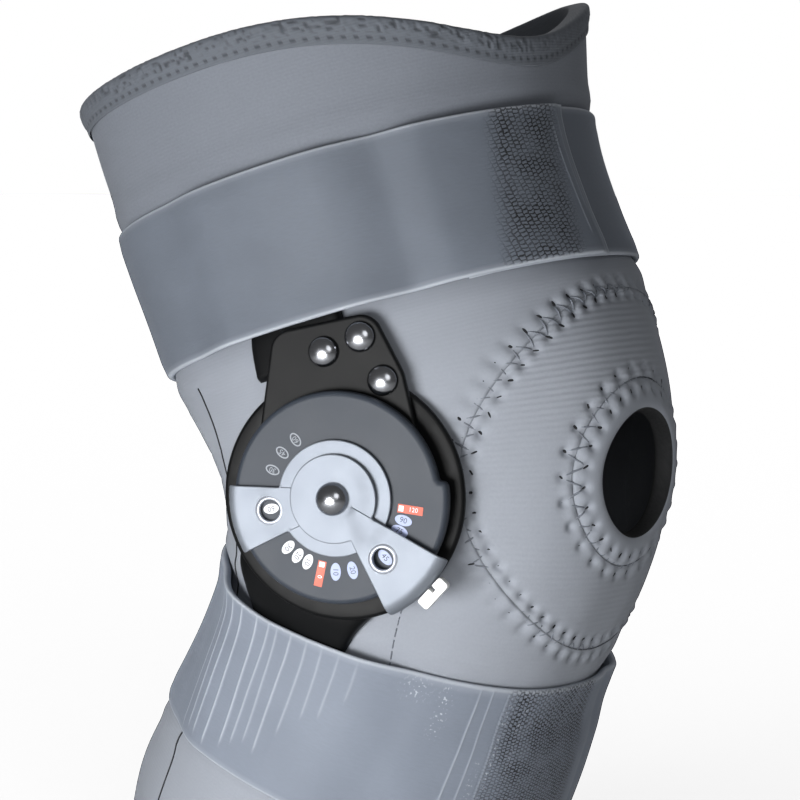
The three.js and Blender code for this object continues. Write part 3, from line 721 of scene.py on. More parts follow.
def padded_ring():
    # share of the way from the hole to the edge, height
    profile = closed_curve([(0.0, -1.8), (0.03, 0.3), (0.12, 1.15), (0.3, 1.6), (0.55, 1.6), (0.8, 1.0),
                            (0.985, -0.1), (0.985, -3.7), (0.55, -4.9), (0.14, -4.7), (0.0, -3.8)], 6)
    shares, heights = profile.T
    around = 320
    angle, reach = np.meshgrid(np.arange(around) / around * TAU, RING_HOLE + (RING_EDGE - RING_HOLE) * shares,
                               indexing="xy")
    height = np.broadcast_to(heights[:, None], angle.shape)
    rise = RING_SEAM.relief(on_oval(angle, reach)) * smooth(height, -2.5, -0.3)
    points = on_oval(angle, reach, height + rise).reshape(-1, 3)
    along, turn = oval_place(angle, reach)
    # The foam is cut bare towards the hole and underneath
    bare = ((shares < 0.09) & (heights < 0.85)) | (heights < -3.9)
    # Painted shade: the ring's colour darkens towards its top
    return piece("padded_kneecap_ring", points, quads(len(profile), around, True, True),
                 [PADDED_RIM, CUT_FOAM], "padded_rim", replaces=["patella_ring"],
                 weave=np.stack([turn.ravel() * LEG_RADIUS, (along + height).ravel()], -1),
                 markings={"painted_top_shade": smooth(along, 25, 60), "ribs": np.zeros(len(points))},
                 finish_of=np.repeat(bare.astype(int), around))


# Edge bindings
TAPE_STEPS, TAPE_LOOPS, LOOP_ROWS = 1100, 409, 8
LOOP_HEIGHT, LOOP_SHADE, RIM_WIDENING = 0.7, 0.8, 1.1
# Sewn line of the tape: stitch spacing, place past the rim, depth and shade of the stitches
TAPE_STITCH, TAPE_LINE, TAPE_SINK, TAPE_SHADE = 3.4, -5.4, 0.2, 0.8


def binding(name, edge_at, side, node_name):
    """Looped pile tape folded over a rim and sewn down. side: 1 over the upper rim, -1 under the lower."""
    inner = -WALL - 0.4
    # height above the sleeve's outer face, rise past the rim
    profile = closed_curve([
        (0.75, -6.9), (0.95, -4.6), (1.3, -3.4), (1.5, -1.4), (1.25, 0.4), (0.2, 1.25), (-2.0, 1.4),
        (inner - 0.2, 1.2), (inner - 0.95, 0.1), (inner - 1.0, -3.4), (inner - 0.9, -6.9), (inner, -7.0),
        (inner, -3.0), (inner + 0.3, 0.2), (-2.0, 0.4), (0.2, 0.2), (0.42, -3.0), (0.42, -7.0)], 3)
    turn, reach = np.meshgrid(np.arange(TAPE_STEPS) / TAPE_STEPS * TAU, profile[:, 0], indexing="xy")
    rise = np.broadcast_to(profile[:, 1][:, None], turn.shape)
    # The fold is looped pile, flattened towards the front and the back; below it the tape lies plain
    pile_zone = np.clip(smooth(reach, 0.9, 1.2) + smooth(rise, 0.9, 1.2), 0, 1) * smooth(rise, -4.2, -3.2)
    worn = 0.3 + 0.7 * smooth(np.cos(turn - rad(72)), 0.35, 0.75)
    # Height of every loop, eased from one to the next round the rim and across the tape
    loops = chance.random((LOOP_ROWS, TAPE_LOOPS + 1))
    loops[:, -1] = loops[:, 0]
    across = np.clip(rise + 5, 0, LOOP_ROWS - 1.01)
    around = turn / TAU * TAPE_LOOPS
    low_row, low_loop = across.astype(int), around.astype(int)
    u, v = around - low_loop, across - low_row
    u, v = u * u * (3 - 2 * u), v * v * (3 - 2 * v)
    pile = ((loops[low_row, low_loop] * (1 - u) + loops[low_row, low_loop + 1] * u) * (1 - v)
            + (loops[low_row + 1, low_loop] * (1 - u) + loops[low_row + 1, low_loop + 1] * u) * v)
    along = edge_at(turn) + side * rise
    stitched = smooth(np.sin(TAU * turn * LEG_RADIUS * RIM_WIDENING / TAPE_STITCH), 0.1, 0.5)
    dashes = stitched * bump(rise, TAPE_LINE, 0.5) * smooth(reach, 0.6, 0.85)
    height = reach + pile_zone * worn * (LOOP_HEIGHT * pile - LOOP_HEIGHT / 2) - TAPE_SINK * dashes
    points = on_leg(along, turn, height).reshape(-1, 3)
    # Painted shade in the hollows between the loops, and darker along the sunk stitches
    shade = np.clip(pile_zone * worn * smooth(pile, 0.45, 0.15) * LOOP_SHADE + TAPE_SHADE * dashes, 0, 1)
    return piece(name, points, quads(len(profile), TAPE_STEPS, True, True), [EDGE_TAPE], "edge_tape",
                 replaces=[node_name], period=TAU * LEG_RADIUS,
                 weave=np.stack([turn.ravel() * LEG_RADIUS, (along + reach).ravel()], -1),
                 markings={"ribs": np.full(len(points), 0.4), "painted_loop_shade_and_stitches": shade})


# Straps
def bar_spread(bar, along):
    """Middle and half width of a bar as turns round the leg, and its crown."""
    _, turn, half, crown = row_at(bar, along)
    x, z, _ = leg_axis(along)
    spot = on_leg(along, np.radians(turn))
    radius = np.sqrt((spot[..., 0] - x) ** 2 + spot[..., 1] ** 2 + (spot[..., 2] - z) ** 2)
    return np.radians(turn), half / radius, crown


def strap_height(bar, along, turn):
    """Height of a strap's inner face, which climbs over the bar."""
    middle, reach, crown = bar_spread(bar, np.clip(along, bar[0, 0], bar[-1, 0]))
    away = np.abs(wrapped(turn - middle))
    return STRAP_CLEARANCE + crown * (1 - smooth(away, reach + rad(3), reach + rad(20)))


def strap(name, node_name, spec, bar, finish, creases, patch, specks=()):
    """Wide elastic strap. creases: (turn, from, to, strength) in degrees and shares of the width; patch: the
    hook tape's first and last turn at the top edge, its fading at each side and how far it slants; specks:
    (turn, reach in mm, from, to) of the rows where pale loops are pulled out."""
    crease_width, crease_height, wander_angle, wave_height = 0.34, 0.25, rad(0.2), 0.15
    edge_press, press_reach, end_thin, end_reach = 0.45, 6, 0.16, 7
    round_steps, face_steps, back_steps = 400, 36, 12
    start, length = rad(spec["start"]), rad(spec["start"] - spec["end"]) + TAU
    # Steps round the leg are closer at the creases
    near = np.array([-1.2, -0.7, -0.4, -0.2, 0, 0.2, 0.4, 0.7, 1.2]) / LEG_RADIUS
    steps = [np.linspace(0, length, round_steps)]
    steps += [start - (rad(turn) - TAU) + near for turn, *_ in creases]
    gone = np.unique(np.clip(np.concatenate(steps), 0, length))
    # Once round the section: outer face, rounded top edge, inner face, rounded bottom edge
    width = spec["top"] - spec["bottom"]
    half = STRAP_THICK / 2
    bend = np.linspace(math.pi / 2, -math.pi / 2, 7)
    down, up = bend[1:], bend[::-1][1:-1]
    across = np.concatenate([np.linspace(half, width - half, face_steps), width - half + half * np.cos(down),
                             np.linspace(width - half, half, back_steps)[1:], half - half * np.cos(up)])
    through = np.concatenate([np.full(face_steps, STRAP_THICK), half + half * np.sin(down),
                              np.zeros(back_steps - 1), half + half * np.sin(up)])
    went, y = np.meshgrid(gone, across, indexing="ij")
    z = np.broadcast_to(through, y.shape)
    turn, v = start - went, y / width
    along = spec["bottom"] + v * (width + strap_rise(spec, turn))
    layer = smooth(went, TAU - OVERLAP_CLIMB, TAU - rad(2)) * (STRAP_THICK + STRAP_CLEARANCE)
    # The ends thin down to a cut edge, and the long edges press into the sleeve
    to_end = np.minimum(went, length - went) * LEG_RADIUS
    thin = end_thin + (1 - end_thin) * smooth(to_end, 0, end_reach)
    to_edge = np.minimum(y, width - y)
    press = edge_press * (1 - smooth(to_edge, 0, press_reach))
    face = smooth(z, half, STRAP_THICK)
    creased = np.zeros(y.shape)
    for place, low, high, strength in creases:
        lengthwise = smooth(v, low - 0.04, low + 0.04) * (1 - smooth(v, high - 0.06, high + 0.06))
        wander = wander_angle * np.sin(v * 4 + place)
        beside = (turn + TAU - rad(place) - wander) * LEG_RADIUS
        creased = np.maximum(creased, strength * lengthwise * bump(beside, 0, crease_width))
    pulled = wave_height * np.sin(went * 9 + 1.1 * np.sin(y / 9)) * np.sin(v * math.pi)
    height = strap_height(bar, along, turn) + layer - press + z * thin
    height = height + face * (crease_height * creased + pulled)
    points = on_leg(along, turn, height).reshape(-1, 3)
    shown = np.degrees(turn + TAU) - patch["slant"] * (1 - v)
    first, last, soft = patch["first"], patch["last"], patch["soft"]
    hooked = smooth(shown, first - soft, first + soft) * (1 - smooth(shown, last - soft, last + soft))
    speckled = np.zeros(y.shape)
    for place, reach, low, high in specks:
        lengthwise = smooth(v, low - 0.05, low + 0.05) * (1 - smooth(v, high - 0.05, high + 0.05))
        beside = (turn + TAU - rad(place)) * LEG_RADIUS
        speckled = np.maximum(speckled, bump(beside, 0, reach) * lengthwise * face)
    # Painted highlight along the long edges of the outer side, and paler at the free end
    pale = (1 - smooth(to_edge, 0.4, 1.4)) * smooth(z, 0.5, 1.8)
    pale = np.maximum(pale, 0.7 * (1 - smooth((length - went) * LEG_RADIUS, 0.2, 0.9)) * face)
    return piece(name, points, tube(*y.shape), [finish], "strap_elastic", replaces=[node_name],
                 weave=np.stack([(turn * LEG_RADIUS).ravel(), (y + 0.001 * z).ravel()], -1),
                 markings={"crease": 0.5 * creased * face, "patch": hooked * smooth(y, 0.3, 1.5) * face,
                           "edge": 0.65 * pale, "specks": speckled})


# Outlines and plates of the hinge
def arc(radius, start, end, step=3.0, middle=(0, 0)):
    count = max(2, int(abs(end - start) / step) + 1)
    angles = np.radians(np.linspace(start, end, count))
    return np.stack([middle[0] + radius * np.cos(angles), middle[1] + radius * np.sin(angles)], -1)


def circle(radius, middle=(0, 0), steps=96):
    return arc(radius, 0, 360 - 360 / steps, 360 / steps, middle)


def nearest(loop, spot):
    return int(np.argmin(((loop - spot) ** 2).sum(1)))


def eased(loop, corner, reach):
    """The loop with one corner rounded over a reach to each side of it."""
    count, spot = len(loop), loop[corner]
    far = np.linalg.norm(loop - spot, axis=1) > reach
    back = next(k for k in range(1, count) if far[(corner - k) % count])
    ahead = next(k for k in range(1, count) if far[(corner + k) % count])
    sides = []
    for index in ((corner - back) % count, (corner + ahead) % count):
        way = loop[index] - spot
        sides.append(spot + way / np.linalg.norm(way) * reach)
    u = np.linspace(0, 1, 7)[:, None]
    curve = sides[0] * (1 - u) ** 2 + 2 * spot * u * (1 - u) + sides[1] * u ** 2
    kept = [loop[(corner + ahead + k) % count] for k in range(count - ahead - back + 1)]
    return np.vstack([curve, kept])


def respaced(loop, step):
    """The loop again with points about a step apart."""
    closed = np.vstack([loop, loop[:1]])
    gone = np.concatenate([[0], np.cumsum(np.linalg.norm(np.diff(closed, axis=0), axis=1))])
    at = np.linspace(0, gone[-1], int(gone[-1] / step) + 1)[:-1]
    return np.stack([np.interp(at, gone, closed[:, k]) for k in (0, 1)], -1)


def hull(points):
    """Outline round a set of points."""
    points = sorted(map(tuple, points))

    def half(chain):
        kept = []
        for p in chain:
            while len(kept) > 1 and ((kept[-1][0] - kept[-2][0]) * (p[1] - kept[-2][1])
                                     - (kept[-1][1] - kept[-2][1]) * (p[0] - kept[-2][0])) <= 0:
                kept.pop()
            kept.append(p)
        return kept[:-1]

    return np.array(half(points) + half(points[::-1]))


def within(points, loop):
    """Which points lie inside a closed loop."""
    x, y = points[:, None, 0], points[:, None, 1]
    (x1, y1), (x2, y2) = loop.T, np.roll(loop, -1, axis=0).T
    crosses = (y1 > y) != (y2 > y)
    reach = (x2 - x1) * (y - y1) / np.where(y2 == y1, 1e-12, y2 - y1) + x1
    return (crosses & (x < reach)).sum(1) % 2 == 1


def in_plate(points, loops):
    """Which points lie inside the first loop and outside the others."""
    inside = within(points, loops[0])
    for loop in loops[1:]:
        inside &= ~within(points, loop)
    return inside


def apart(points, others, gap):
    """Which points are more than a gap away from all the others."""
    return ((points[:, None] - others[None]) ** 2).sum(-1).min(1) > gap ** 2


def inset(loop, distance):
    ahead = np.roll(loop, -1, axis=0) - loop
    length = np.maximum(np.linalg.norm(ahead, axis=1), 1e-9)
    normal = np.stack([-ahead[:, 1], ahead[:, 0]], -1) / length[:, None]
    before = np.roll(normal, 1, axis=0)
    return loop + distance * (normal + before) / np.maximum(1 + (normal * before).sum(1), 0.4)[:, None]


def area_of(loop):
    x, y = loop.T
    return 0.5 * float((x * np.roll(y, -1) - y * np.roll(x, -1)).sum())


def plate(outline, holes, low, high, rounding, spacing, folds=None):
    """Flat plate with rounded edges and holes, finely divided so that it can be bent. folds: extra points, in
    rows, where it is to bend sharply."""
    sliver, fold_gap, rim_gap = 4e-4, 0.5, 0.6 * spacing if folds is None else 0.25
    loops = [outline if area_of(outline) > 0 else outline[::-1]]
    loops += [hole if area_of(hole) < 0 else hole[::-1] for hole in holes]
    # A narrow flat ring inside each rounding keeps the faces flat to the eye
    flat_at = rounding + min(0.25, rounding)
    bends = np.linspace(math.pi / 2, 0, 5)
    levels = [(flat_at, low)]
    levels += [(rounding * (1 - math.cos(f)), low + rounding * (1 - math.sin(f))) for f in bends]
    levels += [(rounding * (1 - math.cos(f)), high - rounding * (1 - math.sin(f))) for f in bends[::-1]]
    levels += [(flat_at, high)]
    points, faces, first, last = [], [], [], []
    count = 0
    for loop in loops:
        rings = [np.column_stack([inset(loop, d), np.full(len(loop), z)]) for d, z in levels]
        points.append(np.concatenate(rings))
        faces += [[i + count for i in face] for face in quads(len(rings), len(loop), ring_columns=True)]
        first.append(count + np.arange(len(loop)))
        count += len(points[-1])
        last.append(count - len(loop) + np.arange(len(loop)))
    # Both flat faces: the inner rims and, between them, a grid of staggered rows
    inner = [inset(loop, flat_at) for loop in loops]
    rims = np.concatenate(inner)
    lo, hi = rims.min(0), rims.max(0)
    columns, rows = (np.arange(lo[k], hi[k], spacing) for k in (0, 1))
    grid = np.stack(np.meshgrid(columns, rows), -1).reshape(-1, 2)
    grid = grid + (np.round(grid[:, 1:] / spacing) % 2) * [[spacing / 2, 0]]
    if folds is not None:
        grid = np.concatenate([grid[apart(grid, folds, fold_gap)], folds])
    grid = grid[in_plate(grid, inner)]
    grid = grid[apart(grid, rims, rim_gap)]
    edges, at = [], 0
    for loop in inner:
        edges += [(at + i, at + (i + 1) % len(loop)) for i in range(len(loop))]
        at += len(loop)
    flat = np.concatenate([rims, grid])
    _, _, found, origin, _, _ = geometry.delaunay_2d_cdt([Vector(p) for p in flat], edges, [], 0, 1e-7)
    origin = [ids[0] if ids else -1 for ids in origin]
    triangles = [[origin[i] for i in face] for face in found]
    triangles = np.array([t for t in triangles if min(t) >= 0])
    (ax, ay), (bx, by) = (flat[triangles[:, k]].T - flat[triangles[:, 0]].T for k in (1, 2))
    keep = in_plate(flat[triangles].mean(1), inner) & (np.abs(ax * by - ay * bx) > sliver)
    for side, z in ((first, low), (last, high)):
        numbers = np.concatenate([*side, count + np.arange(len(grid))])
        points.append(np.column_stack([grid, np.full(len(grid), z)]))
        count += len(grid)
        faces += numbers[triangles[keep]].tolist()
    return np.concatenate(points), faces


def turned(points, angle):
    c, s = math.cos(rad(angle)), math.sin(rad(angle))
    points = np.asarray(points, float)
    x, y = points[:, 0], points[:, 1]
    return np.column_stack([x * c - y * s, x * s + y * c, points[:, 2:]])


def lathe(profile, middle=(0, 0), ring=False, steps=64):
    """Turned about the hinge's z from (radius, height) pairs: a solid whose line starts and ends near the
    axis, or a ring whose line is closed."""
    profile = np.asarray(profile, float)
    turns = np.arange(steps) / steps * TAU
    points = np.stack([middle[0] + profile[:, :1] * np.cos(turns), middle[1] + profile[:, :1] * np.sin(turns),
                       np.repeat(profile[:, 1:], steps, 1)], -1).reshape(-1, 3)
    return points, quads(len(profile), steps, True, True) if ring else tube(len(profile), steps)


# Hinge
def following_bar(bar, under=None):
    """Bar that follows the sleeve, with rounded edges and ends. under: the height that it stays below."""
    end_rounding = 1.5
    along = np.linspace(bar[0, 0], bar[-1, 0], 90)
    middle, reach, crown = bar_spread(bar, along)
    end = np.clip(np.minimum(along - along[0], along[-1] - along) / end_rounding, 0.02, 1) ** 0.5
    thick = crown - BAR_CLEARANCE
    # share of the half width, share of the thickness
    section = closed_curve([(-0.985, 0.1), (-1, 0.5), (-0.93, 0.93), (-0.6, 1), (0, 1), (0.6, 1),
                            (0.93, 0.93), (1, 0.5), (0.985, 0.1), (0.9, 0), (0, 0), (-0.9, 0)], 4)
    centre = BAR_CLEARANCE + thick / 2
    rings = np.stack([on_leg(along, middle + share * reach, centre + (lift - 0.5) * thick * end)
                      for share, lift in section], 1)
    if under:
        # Past the plate's upper edge the bar may stand higher again
        out, up = (rings - HINGE_ORIGIN) @ HINGE_Z, (rings - HINGE_ORIGIN) @ HINGE_Y
        rings = rings - np.maximum(out - under - 6 * smooth(up, 50, 54), 0)[..., None] * HINGE_Z
    return rings.reshape(-1, 3), tube(*rings.shape[:2])


def lower_arm():
    disc, faces = plate(circle(BASE_RADIUS, steps=140), [circle(PIVOT_BORE)], BASE_LOW, BASE_HIGH, 0.9, 3)
    # A raised lip runs round the base's edge
    radius = np.hypot(disc[:, 0], disc[:, 1])
    disc[:, 2] += 0.35 * bump(radius, BASE_RADIUS - 1.9, 0.8) * smooth(disc[:, 2], 2.8, 4)
    points, faces = gathered([(on_hinge(disc), faces), following_bar(LOWER_BAR)])
    piece("hinge_base", points, faces, [BLACK_NYLON], "black_nylon", replaces=["lower_arm"], sharp=40)


def upper_arm():
    corner, rivet_hole, back_corner = 6.4, 2.2, (-15, 42)
    rounds = [circle(SHOULDER_RADIUS)] + [circle(corner, spot, 48) for spot in RIVETS + [back_corner]]
    holes = [circle(PIVOT_BORE)] + [circle(rivet_hole, spot, 32) for spot in RIVETS]
    outline = respaced(hull(np.concatenate(rounds)), 1.2)
    shoulder, faces = plate(outline, holes, SHOULDER_LOW, SHOULDER_HIGH, 0.8, 3)
    points, faces = gathered([(on_hinge(shoulder), faces), following_bar(UPPER_BAR, SHOULDER_HIGH - 0.7)])
    piece("hinge_shoulder", points, faces, [BLACK_NYLON], "black_nylon", replaces=["upper_arm"], sharp=40)


def dial():
    flange = arc(FLANGE_RADIUS, FLANGE_START, FLANGE_END, 1.5)
    sharp_outline = np.vstack([flange, arc(DIAL_RADIUS, FLANGE_END, FLANGE_START + 360, 1.5)])
    outline = sharp_outline
    for corner, soft in ((-1, 1.1), (len(flange), 1.1), (len(flange) - 1, 2.1), (0, 2.1)):
        outline = eased(outline, nearest(outline, sharp_outline[corner]), soft)
    points, faces = plate(respaced(outline, 0.9), [circle(PIVOT_BORE)], DIAL_LOW, DIAL_FACE, 1.5, 2.2)
    piece("angle_dial", on_hinge(points), faces, [DIAL_ABS], "dial_plastic", replaces=["dial"], sharp=40)


SHEET, WINDOW_RADIUS, TIP_CORNER, TIP_FLARE = 1.2, 3.1, 1.4, 0.2
# A fold's points lie FOLD_HALF to each side of its line and it rises just between them; along an edge
# without a fold the rise fades over FOLD_FADE
FOLD_HALF, FOLD_EASE, FOLD_FADE = 0.12, 0.11, 7
# Middle of the discs' leading side, in degrees on the dial
LEADING_ANGLE = 20


def lever(name, node_name, body, *, low, disc, angle, root, spread, tip, window_reach, window_angle,
          bend_from, bend, lip, fold, fold_from, fold_sides, spring):
    """Stop lever of thin sheet: a disc on the pivot, an arm that widens from root by spread degrees to its
    tip, the tip bent down over the dial's edge, and a turned collar in its window. fold: rise of the arm
    above the disc, from fold_from outwards and along the edges in fold_sides; spring: rise of the disc's
    leading side."""
    high = low + SHEET
    half = root + tip * math.tan(rad(spread))
    reach = math.sqrt(tip ** 2 - half ** 2)
    slope = (half - root) / reach
    flat_tip = bend_from + bend * math.pi / 2 + lip
    # Where an arm edge leaves the disc
    a, b, c = 1 + slope ** 2, 2 * root * slope, root ** 2 - disc ** 2
    leave = (-b + math.sqrt(b ** 2 - 4 * a * c)) / (2 * a)
    leave_angle = math.degrees(math.atan2(root + slope * leave, leave))
    # Flat outline before the tip is bent: the tip's arc, one edge, the disc, the other edge
    x = np.linspace(reach * flat_tip / tip, leave, 26)[:, None]
    wide = np.where(x > reach, half + (x - reach) * slope * TIP_FLARE, root + slope * x)
    tip_end = math.degrees(math.atan2(float(wide[0, 0]), float(x[0, 0])))
    tip_arc = arc(math.hypot(float(wide[0, 0]), float(x[0, 0])), -tip_end, tip_end, 1.2)
    outline = np.vstack([tip_arc, np.hstack([x, wide])[1:], arc(disc, leave_angle, 360 - leave_angle)[1:],
                         np.hstack([x, -wide])[::-1][1:-1]])
    for corner in (len(tip_arc) - 1, 0):
        outline = np.roll(eased(np.roll(outline, -corner, axis=0), 0, TIP_CORNER), corner, axis=0)
    window = rad(window_angle - angle)
    middle = (window_reach * math.cos(window), window_reach * math.sin(window))
    # The arm stands a little above the disc: sharply along its edges, fading towards the pivot
    line = np.arange(fold_from, disc + 4, 0.4)
    rows = [np.column_stack([line, side * (root + slope * line) + gap])
            for side in fold_sides for gap in (-FOLD_HALF, FOLD_HALF)]
    holes = [circle(PIVOT_BORE + 0.6, steps=64), circle(WINDOW_RADIUS, middle, 48)]
    points, faces = plate(respaced(outline, 0.9), holes, low, high, 0.3, 0.8, folds=np.concatenate(rows))
    x, y = points[:, 0], points[:, 1]
    far = np.hypot(x, y)
    share = smooth(x, fold_from, fold_from + 3)
    for side in (1, -1):
        beside = side * y - (root + slope * x)
        outer, inner = (FOLD_EASE, -FOLD_EASE) if side in fold_sides else (0, -FOLD_FADE)
        share = share * smooth(beside, outer, inner)
    points[:, 2] += fold * share * (1 - smooth(far, disc + 1, disc + 7))
    leading = np.clip(np.cos(np.arctan2(y, x) - rad(LEADING_ANGLE - angle)), 0, 1) ** 2
    points[:, 2] += spring * leading * smooth(far, 7, disc) * (1 - share)
    # The tip turns down round a bend and then runs straight
    height = points[:, 2] - (low + high) / 2
    turn_down = np.clip((far - bend_from) / bend, 0, math.pi / 2)
    straight = np.maximum(far - bend_from - bend * math.pi / 2, 0)
    bent = far > bend_from
    new_far = np.where(bent, bend_from + bend * np.sin(turn_down) + height * np.sin(turn_down), far)
    drop = np.where(bent, bend * (1 - np.cos(turn_down)) + straight + height * (1 - np.cos(turn_down)), 0)
    scale = np.where(far > 0, new_far / np.maximum(far, 1e-9), 1)
    points = np.column_stack([x * scale, y * scale, points[:, 2] - drop])
    piece(name, on_hinge(turned(points, angle)), faces, [SATIN_ALUMINIUM], "satin_aluminium", body,
          replaces=[node_name], sharp=32)
    profile = closed_curve([
        (WINDOW_RADIUS, low + 0.1), (WINDOW_RADIUS, high), (3.25, high + 0.25), (3.6, high + 0.34),
        (4.05, high + 0.22), (4.45, high - 0.05), (4.2, high - 0.4), (3.3, low + 0.1)], 5)
    collar, faces = lathe(profile, middle, ring=True)
    piece(f"{name}_window_collar", on_hinge(turned(collar, angle)), faces, [BRIGHT_COLLAR_ALUMINIUM],
          "satin_aluminium", body)


def pull_tab():
    """White tab at the flexion lever's tip, notched from its inner side."""
    deep, wide, low, high, reach, angle = 1.9, 5.0, 9, 12, 39.6, 317.5
    outline = np.array([(-deep, -wide), (deep, -wide), (deep, wide), (-deep, wide), (-deep, 1.6), (-0.2, 1.5),
                        (-0.2, 0.3), (-deep, 0.2)])
    sides = zip(outline, np.roll(outline, -1, axis=0))
    dense = np.concatenate([np.linspace(a, b, max(2, round(math.dist(a, b) / 0.6)), endpoint=False)
                            for a, b in sides])
    for spot, soft in (((deep, -wide), 1.2), ((deep, wide), 1.2),
                       ((-deep, wide), 0.9), ((-deep, -wide), 0.9)):
        dense = eased(dense, nearest(dense, spot), soft)
    dense = dense[np.linalg.norm(dense - np.roll(dense, 1, axis=0), axis=1) > 0.1]
    points, faces = plate(dense, [], low, high, 0.2, 0.7)
    points[:, 0] += reach
    points[:, 2] += 0.35 * (1 - (points[:, 1] / wide) ** 2)
    piece("white_pull_tab", on_hinge(turned(points, angle)), faces, [WHITE_ACETAL], "white_plastic",
          "flexion_stop", replaces=["lever_tab"], sharp=40)


def dome_rivet(name, node_name, spot, *, shank, head, low, head_low, dome):
    rim, tip = 0.35, 0.02
    rise = np.linspace(0, math.pi / 2, 15)
    crown = np.column_stack([head * np.cos(rise), head_low + rim + (dome - rim) * np.sin(rise)])
    crown[-1, 0] = tip
    stem = [(tip, low), (shank, low), (shank, head_low), (head - 0.25, head_low), (head, head_low + 0.2)]
    points, faces = lathe(np.vstack([stem, crown]), spot)
    piece(name, on_hinge(points), faces, [CHROMED_STEEL], "chromed_steel", replaces=[node_name], sharp=50)


# Dial marks: angle, middle's reach, number
WHITE_OVALS = [(225.6, 20.6, "30"), (236, 20.6, "20"), (245.7, 20.6, "10"), (190.5, 19.9, "60")]
BLUE_OVALS = [(270, 21.4, "10"), (283.8, 21.4, "20"), (311.7, 22.4, "45"), (335, 21.2, "75"),
              (343.9, 21.2, "90")]
OUTLINED_OVALS = [(126, 20.6, "60"), (141.5, 20.6, "45"), (158, 20.6, "30")]
ORANGE_TAGS = [(258, 22.6, "0"), (353, 22.6, "120")]
INK_LOW, INK_HIGH, OVERPRINT = DIAL_FACE - 0.04, DIAL_FACE + 0.07, 0.06
# Length towards the pivot and width of each kind of mark, and the line of the outlined ones
WHITE_SIZE, BLUE_SIZE, OUTLINED_SIZE, OUTLINE = (4.7, 2.9), (5.2, 3.1), (4.4, 2.8), 0.4
TAG_SIZE, TAG_END_SIZE, TAG_END_IN, TAG_NUMBER_OUT = (7.6, 2.5), (1.5, 1.7), 2.75, 0.9


def flat_mark(outline, holes, angle, reach, high=INK_HIGH):
    """Printed patch at an angle and a reach from the pivot."""
    points, faces = plate(outline, holes, INK_LOW, high, 0.03, 1.2)
    points[:, 0] += reach
    return turned(points, angle), faces


def oval_mark(angle, reach, long, wide, line=0.0):
    """Printed oval whose long axis points at the pivot, or only its outline, as wide as line."""
    ring = circle(1, steps=40)
    holes = [ring * [long / 2 - line, wide / 2 - line]] if line else []
    return flat_mark(ring * [long / 2, wide / 2], holes, angle, reach)


def tag_mark(angle, reach, long, wide, high=INK_HIGH):
    corners = np.array([(-1, -1), (1, -1), (1, 1), (-1, 1)]) * [long / 2, wide / 2]
    return flat_mark(respaced(corners, 0.3), [], angle, reach, high)


def number_mark(text, angle, reach, size):
    """A plain number, read along the radius."""
    letters = bpy.data.curves.new("number", "FONT")
    letters.body, letters.size, letters.extrude = text, size, 0.03
    letters.align_x, letters.align_y, letters.resolution_u = "CENTER", "CENTER", 3
    made = bpy.data.objects.new("number", letters)
    mesh = bpy.data.meshes.new_from_object(made)
    solid = bmesh.new()
    solid.from_mesh(mesh)
    bmesh.ops.remove_doubles(solid, verts=solid.verts, dist=1e-4)
    solid.to_mesh(mesh)
    solid.free()
    points = np.array([v.co for v in mesh.vertices], float).reshape(-1, 3)
    faces = [list(p.vertices) for p in mesh.polygons]
    bpy.data.meshes.remove(mesh)
    bpy.data.objects.remove(made)
    bpy.data.curves.remove(letters)
    return turned(points + [reach, 0, INK_HIGH], angle), faces


def printed(name, parts, finish):
    points, faces = gathered(parts)
    piece(name, on_hinge(points), faces, [finish], "dial_plastic", sharp=40)


def dial_marks():
    """Ovals and tags with their numbers. Each tag's end nearest the pivot is printed over in white."""
    tag_ends = [tag_mark(a, r - TAG_END_IN, *TAG_END_SIZE, INK_HIGH + OVERPRINT) for a, r, _ in ORANGE_TAGS]
    tag_numbers = [number_mark(n, a, r + TAG_NUMBER_OUT, 1.9) for a, r, n in ORANGE_TAGS]
    outlines = [oval_mark(a, r, *OUTLINED_SIZE, OUTLINE) for a, r, _ in OUTLINED_OVALS]
    outlined_numbers = [number_mark(n, a, r, 2.1) for a, r, n in OUTLINED_OVALS]
    oval_numbers = [number_mark(n, a, r, 2.3) for a, r, n in WHITE_OVALS + BLUE_OVALS]
    white_ovals = [oval_mark(a, r, *WHITE_SIZE) for a, r, _ in WHITE_OVALS]
    printed("dial_white_ovals", white_ovals + tag_ends, WHITE_INK)
    printed("dial_blue_ovals", [oval_mark(a, r, *BLUE_SIZE) for a, r, _ in BLUE_OVALS], BLUE_INK)
    printed("dial_tag_numbers", tag_numbers, WHITE_INK)
    printed("dial_outlined_ovals", outlines + outlined_numbers, SHADED_OUTLINE_INK)
    printed("dial_orange_tags", [tag_mark(a, r, *TAG_SIZE) for a, r, _ in ORANGE_TAGS], ORANGE_INK)
    printed("dial_numbers", oval_numbers, DARK_INK)


# Fine sewn lines on the sleeve
STITCH_FROM, STITCH_TO, STITCH_TURN = -60, -13, rad(69)
STITCH_SPACING, STITCH_LENGTH, STITCH_RADIUS, STITCH_STEPS = 3.1, 2.3, 0.24, 5
# turn in degrees, from, to along the leg
JOINT_LINES = [(125, BOTTOM, 50), (-125, BOTTOM, 130)]
JOINT_RADIUS, JOINT_STEPS = 0.3, 160


